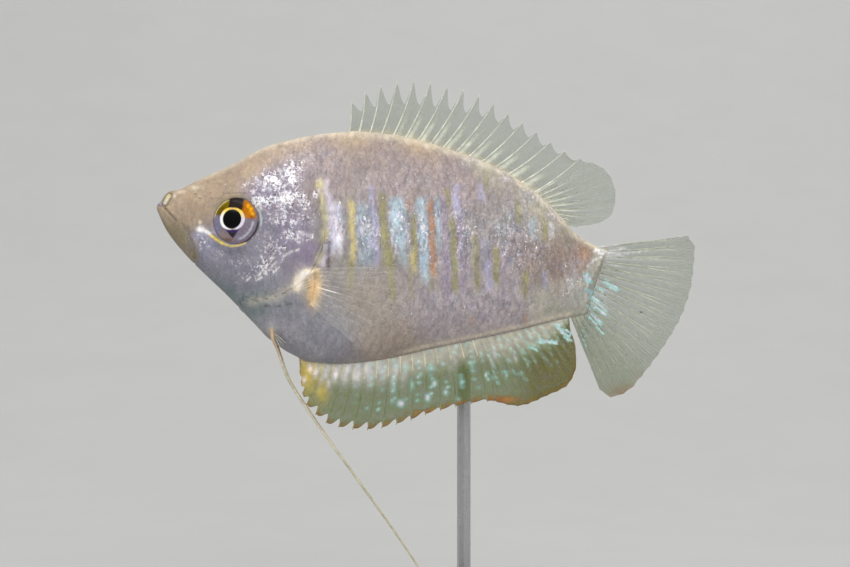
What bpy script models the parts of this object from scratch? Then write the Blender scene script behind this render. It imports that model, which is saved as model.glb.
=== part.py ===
"""A female dwarf gourami at life size, held level in the water by a plain display stand.

Sizes are in millimetres and become metres through MM. A place on the fish is written as
(back, up): millimetres behind the tip of the closed mouth, and millimetres above it. The
head points to -X, the left side to -Y, and the middle of the stand's underside is the origin.
"""

import math

import bmesh
import bpy
import numpy as np
from mathutils import Vector

MM = 0.001

# Driving sizes
TOTAL_LENGTH = 62.0
MOUTH_HEIGHT = 50.9
GAP = 0.3
SEAM = 0.15

# Side outline of the flesh, as (back, up)
BACK_LINE = (
    (0.0, 0.05), (0.4, 0.38), (0.7, 0.9), (1.1, 1.36), (1.6, 1.6), (2.6, 1.74), (3.3, 2.1),
    (4.9, 2.95), (8.3, 4.4), (12.8, 6.7), (15.9, 7.55), (21.9, 8.3), (27.0, 7.85), (34.4, 5.9),
    (39.0, 4.1), (43.5, 1.25), (46.3, -1.5), (48.6, -3.75), (50.8, -4.9),
)
BELLY_LINE = (
    (0.0, -0.85), (0.35, -1.65), (1.0, -2.95), (2.6, -5.1), (8.3, -10.8), (12.8, -15.35),
    (15.1, -17.1), (17.4, -18.0), (20.8, -18.3), (24.5, -18.0), (32.1, -16.45), (41.2, -14.5),
    (47.7, -12.95), (50.8, -12.4),
)
# Half the body's thickness, and how thin its lower edge is (0.5 is round), as (back, value)
HALF_WIDTH = (
    (0.0, 0.45), (0.35, 0.85), (1.5, 1.35), (3.2, 1.9), (4.9, 2.35), (8.9, 3.2), (11.7, 3.75),
    (15.1, 4.2), (20.0, 4.4), (27.6, 4.15), (33.3, 3.6), (39.0, 2.9), (43.5, 2.2), (47.5, 1.55),
    (50.8, 1.1),
)
BELLY_EDGE = ((0.0, 0.5), (9.0, 0.62), (15.0, 0.56), (22.0, 0.62), (30.0, 0.72), (50.8, 0.6))
BACK_EDGE = ((0.0, 0.5), (12.0, 0.56), (22.0, 0.64), (44.0, 0.66), (50.8, 0.55))

# Head
EYE = (9.18, -1.9)
EYE_RADIUS = 2.68
EYE_BULGE = 0.95
EYE_SURFACE = 3.15
EYE_TURN = (0.19, -0.10)
GILL_CENTRE = (11.1, -2.6)
GILL_RADIUS = 8.4
GILL_PLATE_WIDTH = 3.1
GILL_PLATE_THICKNESS = 0.9
GILL_RAISE = 0.3
GILL_ARC = (38.0, -98.0)
MOUTH_LINE = ((-1.0, 0.25), (0.1, -0.1), (0.95, -0.42), (1.5, -1.05), (2.3, -1.85))
MOUTH_PARTED = (0.2, 0.1, 0.07, 0.04, 0.0)
JAW_LINE = ((3.5, -3.1), (4.4, -4.8), (4.4, -6.5), (3.7, -8.2))
LIP_RAISE = 0.1
LIP_SPREAD = 0.45
NOSTRILS = (((4.5, 1.15), 0.2), ((5.05, 0.65), 0.2))

# Seams behind the gill cover, at the tail stalk and at the root of the tail fin
NAPE_LINE = ((14.0, 10.0), (15.8, 6.4))
THROAT_LINE = ((8.4, -12.2), (7.2, -14.0))
STALK_SEAM = ((44.4, 6.0), (44.0, -6.0), (44.4, -18.0))
TAIL_ROOT = ((50.6, -3.0), (50.2, -4.7), (49.2, -7.2), (48.3, -10.2), (47.7, -12.9), (47.3, -15.0))

# Fins: rays counted as on the species, thickness of the skin between them and of the rays
MEMBRANE = 0.5
RAY_RAISE = 0.16
RAY_FOOT = 0.24
ROOT_FLARE = 0.55
FIN_ROWS = (0.0, 0.13, 0.45, 0.84, 1.0)

DORSAL_SPINES, DORSAL_SOFT = 16, 9
DORSAL_ROOT = (22.1, 46.3)
DORSAL_SPINE_SHARE = 0.86
DORSAL_MARGIN = (
    (22.3, 11.8), (25.1, 13.55), (29.1, 14.3), (35.5, 13.2), (42.4, 9.3), (48.4, 5.4), (50.6, 4.6),
    (52.2, 3.1), (52.75, 1.0), (52.4, -0.9), (50.9, -2.1), (48.1, -2.6),
)
DORSAL_MARGIN_SPINE_SHARE = 0.69
DORSAL_NOTCHES = (0.42, 0.04)
# Front spines stand closer together: their shares of the spiny part go by these powers, at the
# root and at the margin
DORSAL_CROWDING = (1.1, 1.0)

ANAL_SPINES, ANAL_SOFT = 17, 14
ANAL_ROOT = (16.4, 47.2)
ANAL_SPINE_SHARE = 0.64
ANAL_MARGIN = (
    (16.4, -19.4), (16.8, -22.3), (18.4, -24.4), (20.3, -25.6), (24.2, -26.0), (27.8, -25.3),
    (31.4, -24.1), (36.0, -23.0), (38.2, -22.7), (41.4, -23.2), (44.9, -22.0), (47.3, -20.7),
    (48.2, -18.4), (48.1, -16.4), (47.4, -14.3),
)
ANAL_MARGIN_SPINE_SHARE = 0.61
ANAL_NOTCHES = (0.24, 0.03)
ANAL_CROWDING = (1.15, 1.15)

CAUDAL_RAYS = 17
CAUDAL_MARGIN = (
    (61.2, -3.6), (62.0, -4.9), (61.7, -8.6), (60.6, -12.4), (58.4, -16.3), (55.9, -19.6),
    (54.0, -21.6), (52.3, -22.2), (50.9, -21.3),
)
CAUDAL_SWEEP = 1.2

PECTORAL_RAYS = 11
PECTORAL_ROOT = ((18.3, -7.4), (18.3, -9.4), (17.8, -11.4))
PECTORAL_MARGIN = ((26.4, -7.1), (29.0, -8.6), (29.5, -11.4), (28.0, -14.4), (23.6, -16.6))
PECTORAL_SPREAD = math.radians(13.0)

# Pelvic fins: one long thread on each side, as (back, up) with the distance from the middle
PELVIC_ROOT = (13.3, -14.4)
PELVIC_PATH = (
    (14.0, -16.8, 1.9), (14.9, -19.4, 2.0), (17.8, -24.1, 2.1), (22.5, -30.7, 2.1),
    (27.0, -37.0, 1.9), (32.3, -44.9, 1.5),
)
# The right thread hangs a little lower than the left one
PELVIC_RIGHT_DROP = 0.35
PELVIC_ROOT_RADIUS = 0.5
PELVIC_THREAD_RADIUS = 0.26
PELVIC_TIP_RADIUS = 0.14

# Display stand
BASE_SIZE = (46.0, 30.0, 3.0)
BASE_CORNER = 6.0
BASE_EDGE = 0.5
ROD_RADIUS = 0.8
ROD_CONTACT = (35.4, -9.6)
ROD_STANDOFF = 8.6
ROD_BEND = 2.6

# Mesh density
RING_POINTS = 36
HEAD_STEP, TRUNK_STEP = 0.6, 1.5
HEAD_END, BODY_END = 20.2, 50.8


def smooth(table, at):
    """Values of a smooth line through the table's points, without overshoot between them."""
    places, values = (np.array(column, float) for column in zip(*table))
    at = np.clip(np.asarray(at, float), places[0], places[-1])
    steps = np.diff(places)
    slopes = np.diff(values) / steps
    tangents = np.concatenate([slopes[:1], np.zeros(len(places) - 2), slopes[-1:]])
    before, after = slopes[:-1], slopes[1:]
    same_way = before * after > 0
    weight_before, weight_after = steps[:-1] + 2 * steps[1:], 2 * steps[:-1] + steps[1:]
    harmonic = np.divide(
        (weight_before + weight_after) * before * after,
        weight_before * after + weight_after * before,
        out=np.zeros_like(before), where=same_way,
    )
    tangents[1:-1] = harmonic
    index = np.clip(np.searchsorted(places, at, side="right") - 1, 0, len(steps) - 1)
    span = steps[index]
    t = (at - places[index]) / span
    return (
        values[index] * (1 + 2 * t) * (1 - t) ** 2
        + span * tangents[index] * t * (1 - t) ** 2
        + values[index + 1] * t * t * (3 - 2 * t)
        + span * tangents[index + 1] * t * t * (t - 1)
    )


def ease(t):
    """0 below 0, 1 above 1, and a smooth step between."""
    t = np.clip(t, 0.0, 1.0)
    return t * t * (3 - 2 * t)


def along(points, shares):
    """Points on the smooth curve through the given ones, at shares of its length."""
    points = np.array(points, float)
    run = np.concatenate([[0.0], np.cumsum(np.linalg.norm(np.diff(points, axis=0), axis=1))])
    run /= run[-1]
    return np.stack([smooth(zip(run, column), shares) for column in points.T], axis=-1)


def distance_to_line(x, z, line):
    """Distance in the side view from each place to a line of straight pieces."""
    nearest = np.full(np.shape(x), np.inf)
    for (ax, az), (bx, bz) in zip(line, line[1:]):
        length_squared = (bx - ax) ** 2 + (bz - az) ** 2
        t = np.clip(((x - ax) * (bx - ax) + (z - az) * (bz - az)) / length_squared, 0, 1)
        gap = np.hypot(x - ax - t * (bx - ax), z - az - t * (bz - az))
        nearest = np.minimum(nearest, gap)
    return nearest


def flank(x, z):
    """Half the body's thickness at a place in the side view, with the head's own forms."""
    top, bottom = smooth(BACK_LINE, x), smooth(BELLY_LINE, x)
    t = np.clip((2 * z - top - bottom) / (top - bottom), -1.0, 1.0)
    edge = np.where(t > 0, smooth(BACK_EDGE, x), smooth(BELLY_EDGE, x))
    fade = (1 - t * t) ** edge
    y = smooth(HALF_WIDTH, x) * fade
    # The orbit is a flat ring that the eye sits in.
    from_eye = np.hypot(x - EYE[0], z - EYE[1]) / EYE_RADIUS
    orbit = EYE_SURFACE + EYE_TURN[0] * (x - EYE[0]) + EYE_TURN[1] * (z - EYE[1])
    y = y + (orbit - y) * (1 - ease((from_eye - 1.12) / 0.38))
    # The gill cover rises towards its rear rim and drops behind it.
    dx, dz = x - GILL_CENTRE[0], z - GILL_CENTRE[1]
    from_centre = np.hypot(dx, dz) / GILL_RADIUS
    behind = ease((0.85 * dx - 0.5 * dz + 1.5) / 4.0)
    inside = ease((from_centre - 0.55) / 0.4) * (from_centre < 1.0)
    y = y + GILL_RAISE * behind * inside * fade
    # Both lips are rolls along the mouth.
    mouth = distance_to_line(x, z, MOUTH_LINE[1:])
    return y + LIP_RAISE * np.exp(-((mouth / LIP_SPREAD) ** 2)) * fade


def place(back, y, up):
    """A point in metres from millimetres behind the mouth, off the middle and above the mouth."""
    return Vector(((back - TOTAL_LENGTH / 2) * MM, y * MM, (up + MOUTH_HEIGHT) * MM))


def material(name, colour, roughness, metallic=0.0, alpha=1.0):
    made = bpy.data.materials.new(name)
    made.use_nodes = True
    shader = made.node_tree.nodes["Principled BSDF"]
    shader.inputs["Base Color"].default_value = (*colour, 1.0)
    shader.inputs["Roughness"].default_value = roughness
    shader.inputs["Metallic"].default_value = metallic
    shader.inputs["Alpha"].default_value = alpha
    return made


def add_object(name, mesh, collection):
    obj = bpy.data.objects.new(name, mesh)
    collection.objects.link(obj)
    return obj


def mesh_from(name, points, faces):
    """A mesh whose faces all point outwards."""
    mesh = bpy.data.meshes.new(name)
    mesh.from_pydata([tuple(point) for point in points], [], faces)
    work = bmesh.new()
    work.from_mesh(mesh)
    bmesh.ops.recalc_face_normals(work, faces=work.faces)
    work.to_mesh(mesh)
    work.free()
    return mesh


def boolean(obj, other, operation):
    """Applies a Boolean with the other object to this one."""
    modifier = obj.modifiers.new(operation.title(), "BOOLEAN")
    modifier.operation = operation
    modifier.object = other
    graph = bpy.context.evaluated_depsgraph_get()
    mesh = bpy.data.meshes.new_from_object(obj.evaluated_get(graph))
    obj.modifiers.clear()
    obj.data = mesh
    return obj


def curve_as_mesh(curve_object, collection):
    """The curve's surface as a welded mesh object of the same name, in place of the curve."""
    graph = bpy.context.evaluated_depsgraph_get()
    mesh = bpy.data.meshes.new_from_object(curve_object.evaluated_get(graph))
    work = bmesh.new()
    work.from_mesh(mesh)
    bmesh.ops.remove_doubles(work, verts=work.verts, dist=1e-6)
    bmesh.ops.recalc_face_normals(work, faces=work.faces)
    work.to_mesh(mesh)
    work.free()
    matrix, name = curve_object.matrix_world.copy(), curve_object.name
    bpy.data.objects.remove(curve_object)
    obj = add_object(name, mesh, collection)
    obj.matrix_world = matrix
    return obj


def outline_prism(name, outline, near, far, collection):
    """A prism with the given side-view outline, reaching from near to far across the fish."""
    curve = bpy.data.curves.new(name, "CURVE")
    curve.dimensions = "2D"
    curve.fill_mode = "BOTH"
    curve.extrude = (far - near) / 2 * MM
    spline = curve.splines.new("POLY")
    spline.points.add(len(outline) - 1)
    spline.use_cyclic_u = True
    for point, (back, up) in zip(spline.points, outline):
        point.co = (*place(back, 0, up).xz, 0.0, 1.0)
    obj = add_object(name, curve, collection)
    obj.rotation_euler.x = math.pi / 2
    obj.location.y = (near + far) / 2 * MM
    bpy.context.view_layer.update()
    return curve_as_mesh(obj, collection)


def body_ring(x, inset):
    """One closed section of the body, made smaller all round by the inset."""
    top, bottom = float(smooth(BACK_LINE, x)) - inset, float(smooth(BELLY_LINE, x)) + inset
    turn = np.arange(RING_POINTS) / RING_POINTS * 2 * math.pi
    z = (top + bottom) / 2 - (top - bottom) / 2 * np.cos(turn)
    depth = np.maximum(flank(np.full(RING_POINTS, x), z) - inset * abs(np.sin(turn)), 0.02)
    depth = depth * np.minimum(1, abs(np.sin(turn)) * 40)
    return [place(x, y, up) for y, up in zip(-np.sign(np.sin(turn)) * depth, z)]


def body_loft(name, inset, collection):
    """The whole body as one closed loft, from the mouth to past the tail's root."""
    snout = [0.0, 0.1, 0.28]
    head = np.arange(0.55, HEAD_END, HEAD_STEP)
    trunk = np.arange(HEAD_END + TRUNK_STEP, BODY_END, TRUNK_STEP)
    stations = [x for x in [*snout, *head, HEAD_END, *trunk, BODY_END] if inset == 0 or x > 1.5]
    points, faces = [], []
    for index, x in enumerate(stations):
        points += body_ring(x, inset)
        first = index * RING_POINTS
        for k in range(RING_POINTS):
            following = (k + 1) % RING_POINTS
            if index:
                faces.append((first + k, first + following,
                              first + following - RING_POINTS, first + k - RING_POINTS))
    faces.append(tuple(range(RING_POINTS)))
    faces.append(tuple(range(len(points) - RING_POINTS, len(points))))
    return add_object(name, mesh_from(name, points, faces), collection)


def shifted(line, distance):
    """The line moved sideways, towards the tail where it runs downwards."""
    line = np.array(line, float)
    run = np.gradient(line, axis=0)
    run /= np.linalg.norm(run, axis=1)[:, None]
    return line + distance * np.stack([-run[:, 1], run[:, 0]], axis=1)


def gill_seam():
    """The seam behind the head: down the nape, round the gill cover and out at the throat."""
    first, last = (math.radians(a) for a in GILL_ARC)
    angles = np.linspace(first, last, 22)
    arc = [(GILL_CENTRE[0] + GILL_RADIUS * math.cos(a), GILL_CENTRE[1] + GILL_RADIUS * math.sin(a))
           for a in angles]
    return [*NAPE_LINE, *arc, *THROAT_LINE]


def mouth_seam(side):
    """One edge of the gap between head and lower jaw, wider at the parted lips."""
    line = np.array([*MOUTH_LINE, *JAW_LINE], float)
    opened = np.array([*MOUTH_PARTED, *[0.0] * len(JAW_LINE)])
    run = np.gradient(line, axis=0)
    run /= np.linalg.norm(run, axis=1)[:, None]
    return line + (side * (SEAM + opened / 2))[:, None] * np.stack([-run[:, 1], run[:, 0]], axis=1)


def flesh_regions():
    """Side-view outlines that part the body, each a seam's width from the next."""
    left, right, low, high = -6.0, 60.0, -30.0, 20.0
    seam = gill_seam()
    return {
        "head": [*shifted(seam, -SEAM), *mouth_seam(1)[::-1], (left, 0.55), (left, high)],
        "lower_jaw": [*mouth_seam(-1), (left, -8.2)],
        "trunk": [*shifted(seam, SEAM), (7.2, low), (44.4, low), *shifted(STALK_SEAM, -SEAM)[::-1],
                  (44.4, high), (14.0, high)],
        "tail_stalk": [*shifted(STALK_SEAM, SEAM), (47.3, -18.0), *TAIL_ROOT[::-1], (50.6, 6.0)],
    }


def copy_of(obj, name, collection):
    return add_object(name, obj.data.copy(), collection)


def remove(*objects):
    for obj in objects:
        bpy.data.objects.remove(obj)


def build_flesh(parts, cutters):
    """Head, lower jaw, trunk and tail stalk, cut from one loft by their regions."""
    whole = body_loft("whole_body", 0.0, cutters)
    for name, outline in flesh_regions().items():
        region = outline_prism(name + "_region", outline, -9.0, 9.0, cutters)
        boolean(copy_of(whole, name, parts), region, "INTERSECT")
        remove(region)
    remove(whole)


def gill_sector(name, inner_radius, end_margin, near, far, cutters):
    """A prism over the gill plate: a ring sector that reaches past the cover's rear rim."""
    first, last = (math.radians(a) for a in (GILL_ARC[0] + end_margin, GILL_ARC[1] - end_margin))
    angles = np.linspace(first - math.radians(6.0), last + math.radians(12.0), 18)
    outer = GILL_RADIUS + 1.0
    outline = [(GILL_CENTRE[0] + outer * math.cos(a), GILL_CENTRE[1] + outer * math.sin(a))
               for a in angles]
    outline += [(GILL_CENTRE[0] + inner_radius * math.cos(a),
                 GILL_CENTRE[1] + inner_radius * math.sin(a)) for a in angles[::-1]]
    return outline_prism(name, outline, near, far, cutters)


def build_gill_covers(parts, cutters):
    """A thin plate over each side of the head, with the head sunk beneath it."""
    head = bpy.data.objects["head"]
    inner_radius = GILL_RADIUS - GILL_PLATE_WIDTH
    gap_angle = math.degrees(GAP / GILL_RADIUS)
    sides = {"left": (-9.0, -0.6), "right": (0.6, 9.0)}
    under_plate = body_loft("under_plate", GILL_PLATE_THICKNESS, cutters)
    under_gap = body_loft("under_gap", GILL_PLATE_THICKNESS + GAP, cutters)
    for side, (near, far) in sides.items():
        plate = gill_sector("plate_sector", inner_radius, 0.0, near, far, cutters)
        boolean(plate, under_plate, "DIFFERENCE")
        cover = copy_of(head, "gill_cover_" + side, parts)
        boolean(cover, plate, "INTERSECT")
        remove(plate)
    for side, (near, far) in sides.items():
        pocket = gill_sector("pocket_sector", inner_radius - GAP, gap_angle, near, far, cutters)
        boolean(pocket, under_gap, "DIFFERENCE")
        boolean(head, pocket, "DIFFERENCE")
        remove(pocket)
    remove(under_plate, under_gap)


def eyeball(name, side, grown, collection):
    """A flattened ball that looks outwards, slightly forwards and slightly up."""
    bpy.ops.mesh.primitive_uv_sphere_add(segments=20, ring_count=12, radius=1.0)
    ball = bpy.context.object
    ball.name = name
    for linked in list(ball.users_collection):
        linked.objects.unlink(ball)
    collection.objects.link(ball)
    outward = Vector((-EYE_TURN[0], side, -EYE_TURN[1])).normalized()
    ball.scale = Vector((EYE_RADIUS + grown, EYE_RADIUS + grown, EYE_BULGE + grown)) * MM
    ball.rotation_mode = "QUATERNION"
    ball.rotation_quaternion = outward.to_track_quat("Z", "Y")
    ball.location = place(EYE[0], side * EYE_SURFACE, EYE[1]) - outward * 0.1 * MM
    bpy.context.view_layer.update()
    ball.data.transform(ball.matrix_world)
    ball.matrix_world.identity()
    return ball


def build_head_details(parts, cutters):
    """Eyes in their sockets, and two nostrils on each side of the snout."""
    head = bpy.data.objects["head"]
    for name, side in (("eye_left", -1), ("eye_right", 1)):
        socket = eyeball(name + "_socket", side, GAP, cutters)
        boolean(head, socket, "DIFFERENCE")
        remove(socket)
        eyeball(name, side, 0.0, parts)
        for (back, up), radius in NOSTRILS:
            depth = side * float(flank(np.array(back), np.array(up)))
            bpy.ops.mesh.primitive_ico_sphere_add(
                subdivisions=2, radius=radius * MM, location=place(back, depth, up))
            pit = bpy.context.object
            boolean(head, pit, "DIFFERENCE")
            remove(pit)


def keep_largest(obj):
    """Drops all but the mesh's largest closed surface."""
    work = bmesh.new()
    work.from_mesh(obj.data)
    bmesh.ops.remove_doubles(work, verts=work.verts, dist=1e-7)
    unseen, islands = set(work.verts), []
    while unseen:
        island, frontier = set(), [unseen.pop()]
        while frontier:
            vert = frontier.pop()
            island.add(vert)
            linked = {edge.other_vert(vert) for edge in vert.link_edges} & unseen
            unseen -= linked
            frontier += linked
        islands.append(island)
    islands.sort(key=len)
    scraps = [vert for island in islands[:-1] for vert in island]
    bmesh.ops.delete(work, geom=scraps, context="VERTS")
    work.to_mesh(obj.data)
    work.free()


def ray_columns(count):
    """Shares along a fin for each column: the crest of every ray and its foot on both sides.
    Returns the shares, and 1 at a crest and 0 at a foot."""
    pitch = 1.0 / (count - 1)
    shares, ridge = [], []
    for ray in range(count):
        for offset, raised in ((-RAY_FOOT, 0.0), (0.0, 1.0), (RAY_FOOT, 0.0)):
            share = (ray + offset) * pitch
            if 0.0 <= share <= 1.0:
                shares.append(share)
                ridge.append(raised)
    return np.array(shares), np.array(ridge)


def fin_sheet(name, root, tip, ridge, notch, y_at, flare, collection):
    """A closed fin: rows from root to tip, skin between raised rays, both faces cut alike.

    root and tip are arrays of (back, up); notch is how far the skin's edge falls short of the
    rays' tips, for each column; y_at gives the middle surface's place across the fish.
    """
    reach = 1.0 - notch * (1.0 - ridge)
    points = {-1: [], 1: []}
    for v in FIN_ROWS:
        side_view = root + (tip - root) * (v * reach)[:, None]
        taper = 1.0 - 0.55 * v
        half = MEMBRANE / 2 + RAY_RAISE * ridge * taper + flare * (1 - ease(v / 0.2))
        half = half * (1.0 - 0.45 * ease((v - 0.85) / 0.15))
        middle = y_at(side_view[:, 0], side_view[:, 1])
        for side in points:
            points[side] += [place(x, y + side * h, z)
                             for (x, z), y, h in zip(side_view, middle, half)]
    columns, rows = len(root), len(FIN_ROWS)
    count = columns * rows
    faces = []
    for row in range(rows - 1):
        for column in range(columns - 1):
            a = row * columns + column
            b, c, d = a + 1, a + columns + 1, a + columns
            faces += [(a, b, c), (a, c, d), (count + a, count + c, count + b),
                      (count + a, count + d, count + c)]
    rim = [*range(columns - 1), *range(columns - 1, count - 1, columns),
           *range(count - 1, count - columns, -1), *range(count - columns, 0, -columns)]
    faces += [(a, b, count + b) for a, b in zip(rim, rim[1:] + rim[:1])]
    faces += [(a, count + b, count + a) for a, b in zip(rim, rim[1:] + rim[:1])]
    mesh = mesh_from(name, points[-1] + points[1], faces)
    return add_object(name, mesh, collection)


def split_shares(shares, first, at, crowding):
    """Runs the spines' part of the shares over the share `at` of a line, crowded to the front, and
    the soft rays' part over the rest."""
    spiny = np.minimum(shares / first, 1.0) ** crowding * at
    return np.where(shares < first, spiny, at + (shares - first) / (1 - first) * (1 - at))


def long_fin(name, spines, soft, root_line, root_span, sign, spine_share, margin, margin_share,
             notches, crowding, parts):
    """The dorsal or the anal fin: spines in front with free tips, soft rays behind."""
    rays = spines + soft
    shares, ridge = ray_columns(rays)
    last_spine = (spines - 1) / (rays - 1)
    base_shares = split_shares(shares, last_spine, spine_share, crowding[0])
    base = root_span[0] + (root_span[1] - root_span[0]) * base_shares
    root = np.stack([base, smooth(root_line, base) + sign * GAP], axis=1)
    tip = along(margin, split_shares(shares, last_spine, margin_share, crowding[1]))
    spiny, webbed = notches
    notch = spiny + (webbed - spiny) * ease((shares - last_spine * 0.35) / (last_spine * 0.75))
    return fin_sheet(name, root, tip, ridge, notch, lambda x, z: 0 * x, ROOT_FLARE - MEMBRANE / 2,
                     parts)


def build_fins(parts):
    long_fin("dorsal_fin", DORSAL_SPINES, DORSAL_SOFT, BACK_LINE, DORSAL_ROOT, 1,
             DORSAL_SPINE_SHARE, DORSAL_MARGIN, DORSAL_MARGIN_SPINE_SHARE, DORSAL_NOTCHES,
             DORSAL_CROWDING, parts)
    long_fin("anal_fin", ANAL_SPINES, ANAL_SOFT, BELLY_LINE, ANAL_ROOT, -1,
             ANAL_SPINE_SHARE, ANAL_MARGIN, ANAL_MARGIN_SPINE_SHARE, ANAL_NOTCHES,
             ANAL_CROWDING, parts)
    shares, ridge = ray_columns(CAUDAL_RAYS)
    start, end = TAIL_ROOT[1], TAIL_ROOT[-2]
    root = along(shifted(TAIL_ROOT, GAP)[1:-1], 0.02 + 0.96 * shares)
    tip = along(CAUDAL_MARGIN, shares)
    fin_sheet("caudal_fin", root, tip, ridge, np.full(len(shares), 0.02),
              lambda x, z: CAUDAL_SWEEP * ((x - end[0]) / (TOTAL_LENGTH - start[0])) ** 2,
              0.85 - MEMBRANE / 2, parts)
    shares, ridge = ray_columns(PECTORAL_RAYS)
    root = along(PECTORAL_ROOT, shares)
    tip = along(PECTORAL_MARGIN, shares)
    for name, side in (("pectoral_fin_left", -1), ("pectoral_fin_right", 1)):
        start = float(flank(root[:, 0], root[:, 1]).max()) + GAP + ROOT_FLARE
        fin_sheet(name, root, tip, ridge, np.full(len(shares), 0.03),
                  lambda x, z, side=side, start=start: side * (
                      start + (x - PECTORAL_ROOT[0][0]) * math.tan(PECTORAL_SPREAD)),
                  ROOT_FLARE - MEMBRANE / 2, parts)


def tube(name, points, radii, collection):
    """A round tube along the points, in metres, with its own radius at each, in millimetres."""
    curve = bpy.data.curves.new(name, "CURVE")
    curve.dimensions = "3D"
    curve.bevel_depth = MM
    curve.bevel_resolution = 2
    curve.use_fill_caps = True
    spline = curve.splines.new("POLY")
    spline.points.add(len(points) - 1)
    for point, where, radius in zip(spline.points, points, radii):
        point.co = (*where, 1.0)
        point.radius = radius
    return add_object(name, curve, collection)


def build_pelvic_threads(parts):
    """The long feeler of each pelvic fin, from a fleshy root on the breast to a fine tip."""
    back, up = PELVIC_ROOT
    surface = float(flank(np.array(back), np.array(up)))
    for name, side in (("pelvic_thread_left", -1), ("pelvic_thread_right", 1)):
        start = (back, up, surface + GAP + 0.25)
        drop = PELVIC_RIGHT_DROP if side > 0 else 0.0
        controls = [start, (back + 0.15, up - 0.8, surface + GAP + 0.7),
                    *((x, z - drop, y) for x, z, y in PELVIC_PATH)]
        line = along([(x, side * y, z) for x, z, y in controls], np.linspace(0, 1, 24))
        shares = np.linspace(0, 1, 24)
        radii = (PELVIC_THREAD_RADIUS
                 + (PELVIC_ROOT_RADIUS - PELVIC_THREAD_RADIUS) * (1 - ease(shares / 0.12))
                 - (PELVIC_THREAD_RADIUS - PELVIC_TIP_RADIUS) * ease((shares - 0.8) / 0.2))
        tube(name, [place(*point) for point in line], radii, parts)


def build_stand(parts):
    """A flat base, and one rod that rises beside the fish and turns in to its right flank."""
    length, width, height = BASE_SIZE
    bpy.ops.mesh.primitive_cube_add(size=1.0, location=(0, 0, height / 2 * MM))
    base = bpy.context.object
    base.name = "stand_base"
    base.scale = Vector(BASE_SIZE) * MM
    bpy.ops.object.transform_apply(location=True, rotation=False, scale=True)
    work = bmesh.new()
    work.from_mesh(base.data)
    upright = [edge for edge in work.edges
               if abs(edge.verts[0].co.z - edge.verts[1].co.z) > height / 2 * MM]
    bmesh.ops.bevel(work, geom=upright, offset=BASE_CORNER * MM, segments=6, profile=0.5,
                    affect="EDGES")
    work.to_mesh(base.data)
    work.free()
    edge = base.modifiers.new("Edge", "BEVEL")
    edge.width = BASE_EDGE * MM
    edge.segments = 2
    edge.limit_method = "ANGLE"
    edge.angle_limit = math.radians(60)
    for linked in list(base.users_collection):
        linked.objects.unlink(base)
    parts.objects.link(base)

    back, up = ROD_CONTACT
    end = float(flank(np.array(back), np.array(up))) + GAP
    foot = place(back, ROD_STANDOFF, 0).xy.to_3d() + Vector((0, 0, (height + GAP) * MM))
    turns = np.linspace(0, math.pi / 2, 7)
    bend = [place(back, ROD_STANDOFF - ROD_BEND * (1 - math.cos(a)),
                  up - ROD_BEND * (1 - math.sin(a))) for a in turns]
    tube("stand_rod", [foot, *bend, place(back, end, up)], [ROD_RADIUS] * (len(bend) + 2), parts)


def dress(parts):
    """Gives every part its material and shades the round ones smooth."""
    flesh = material("silver_skin", (0.62, 0.58, 0.60), 0.35, 0.25)
    cover = material("bright_gill_cover", (0.75, 0.73, 0.76), 0.25, 0.45)
    fin = material("clear_fin", (0.62, 0.66, 0.58), 0.35)
    tail = material("olive_fin", (0.52, 0.55, 0.40), 0.35)
    eye = material("golden_eye", (0.45, 0.30, 0.06), 0.12)
    base = material("dark_wood", (0.09, 0.055, 0.035), 0.45)
    rod = material("steel_rod", (0.62, 0.62, 0.64), 0.28, 1.0)
    chosen = {
        "gill_cover": cover, "eye": eye, "dorsal": fin, "pectoral": fin, "pelvic": fin,
        "anal": tail, "caudal": tail, "stand_base": base, "stand_rod": rod,
    }
    for obj in parts.objects:
        made = next((m for start, m in chosen.items() if obj.name.startswith(start)), flesh)
        obj.data.materials.clear()
        obj.data.materials.append(made)
        if obj.type == "MESH":
            obj.data.shade_smooth()
            obj.data.set_sharp_from_angle(angle=math.radians(35))


def main():
    for obj in list(bpy.data.objects):
        bpy.data.objects.remove(obj)
    parts = bpy.data.collections.new("dwarf_gourami")
    cutters = bpy.data.collections.new("cutters")
    bpy.context.scene.collection.children.link(parts)
    bpy.context.scene.collection.children.link(cutters)
    build_flesh(parts, cutters)
    build_gill_covers(parts, cutters)
    build_head_details(parts, cutters)
    for obj in parts.objects:
        keep_largest(obj)
    build_fins(parts)
    build_pelvic_threads(parts)
    build_stand(parts)
    dress(parts)


main()
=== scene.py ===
"""Dresses a life-size dwarf gourami: skin, scales, eyes, fins, feelers and its display stand.

A place on the fish is (back, up) in millimetres: behind the tip of the closed mouth, and above
it. Across is millimetres off the fish's middle, negative on its left side, which faces the
camera. Shares run from 0 to 1.
"""

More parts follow.
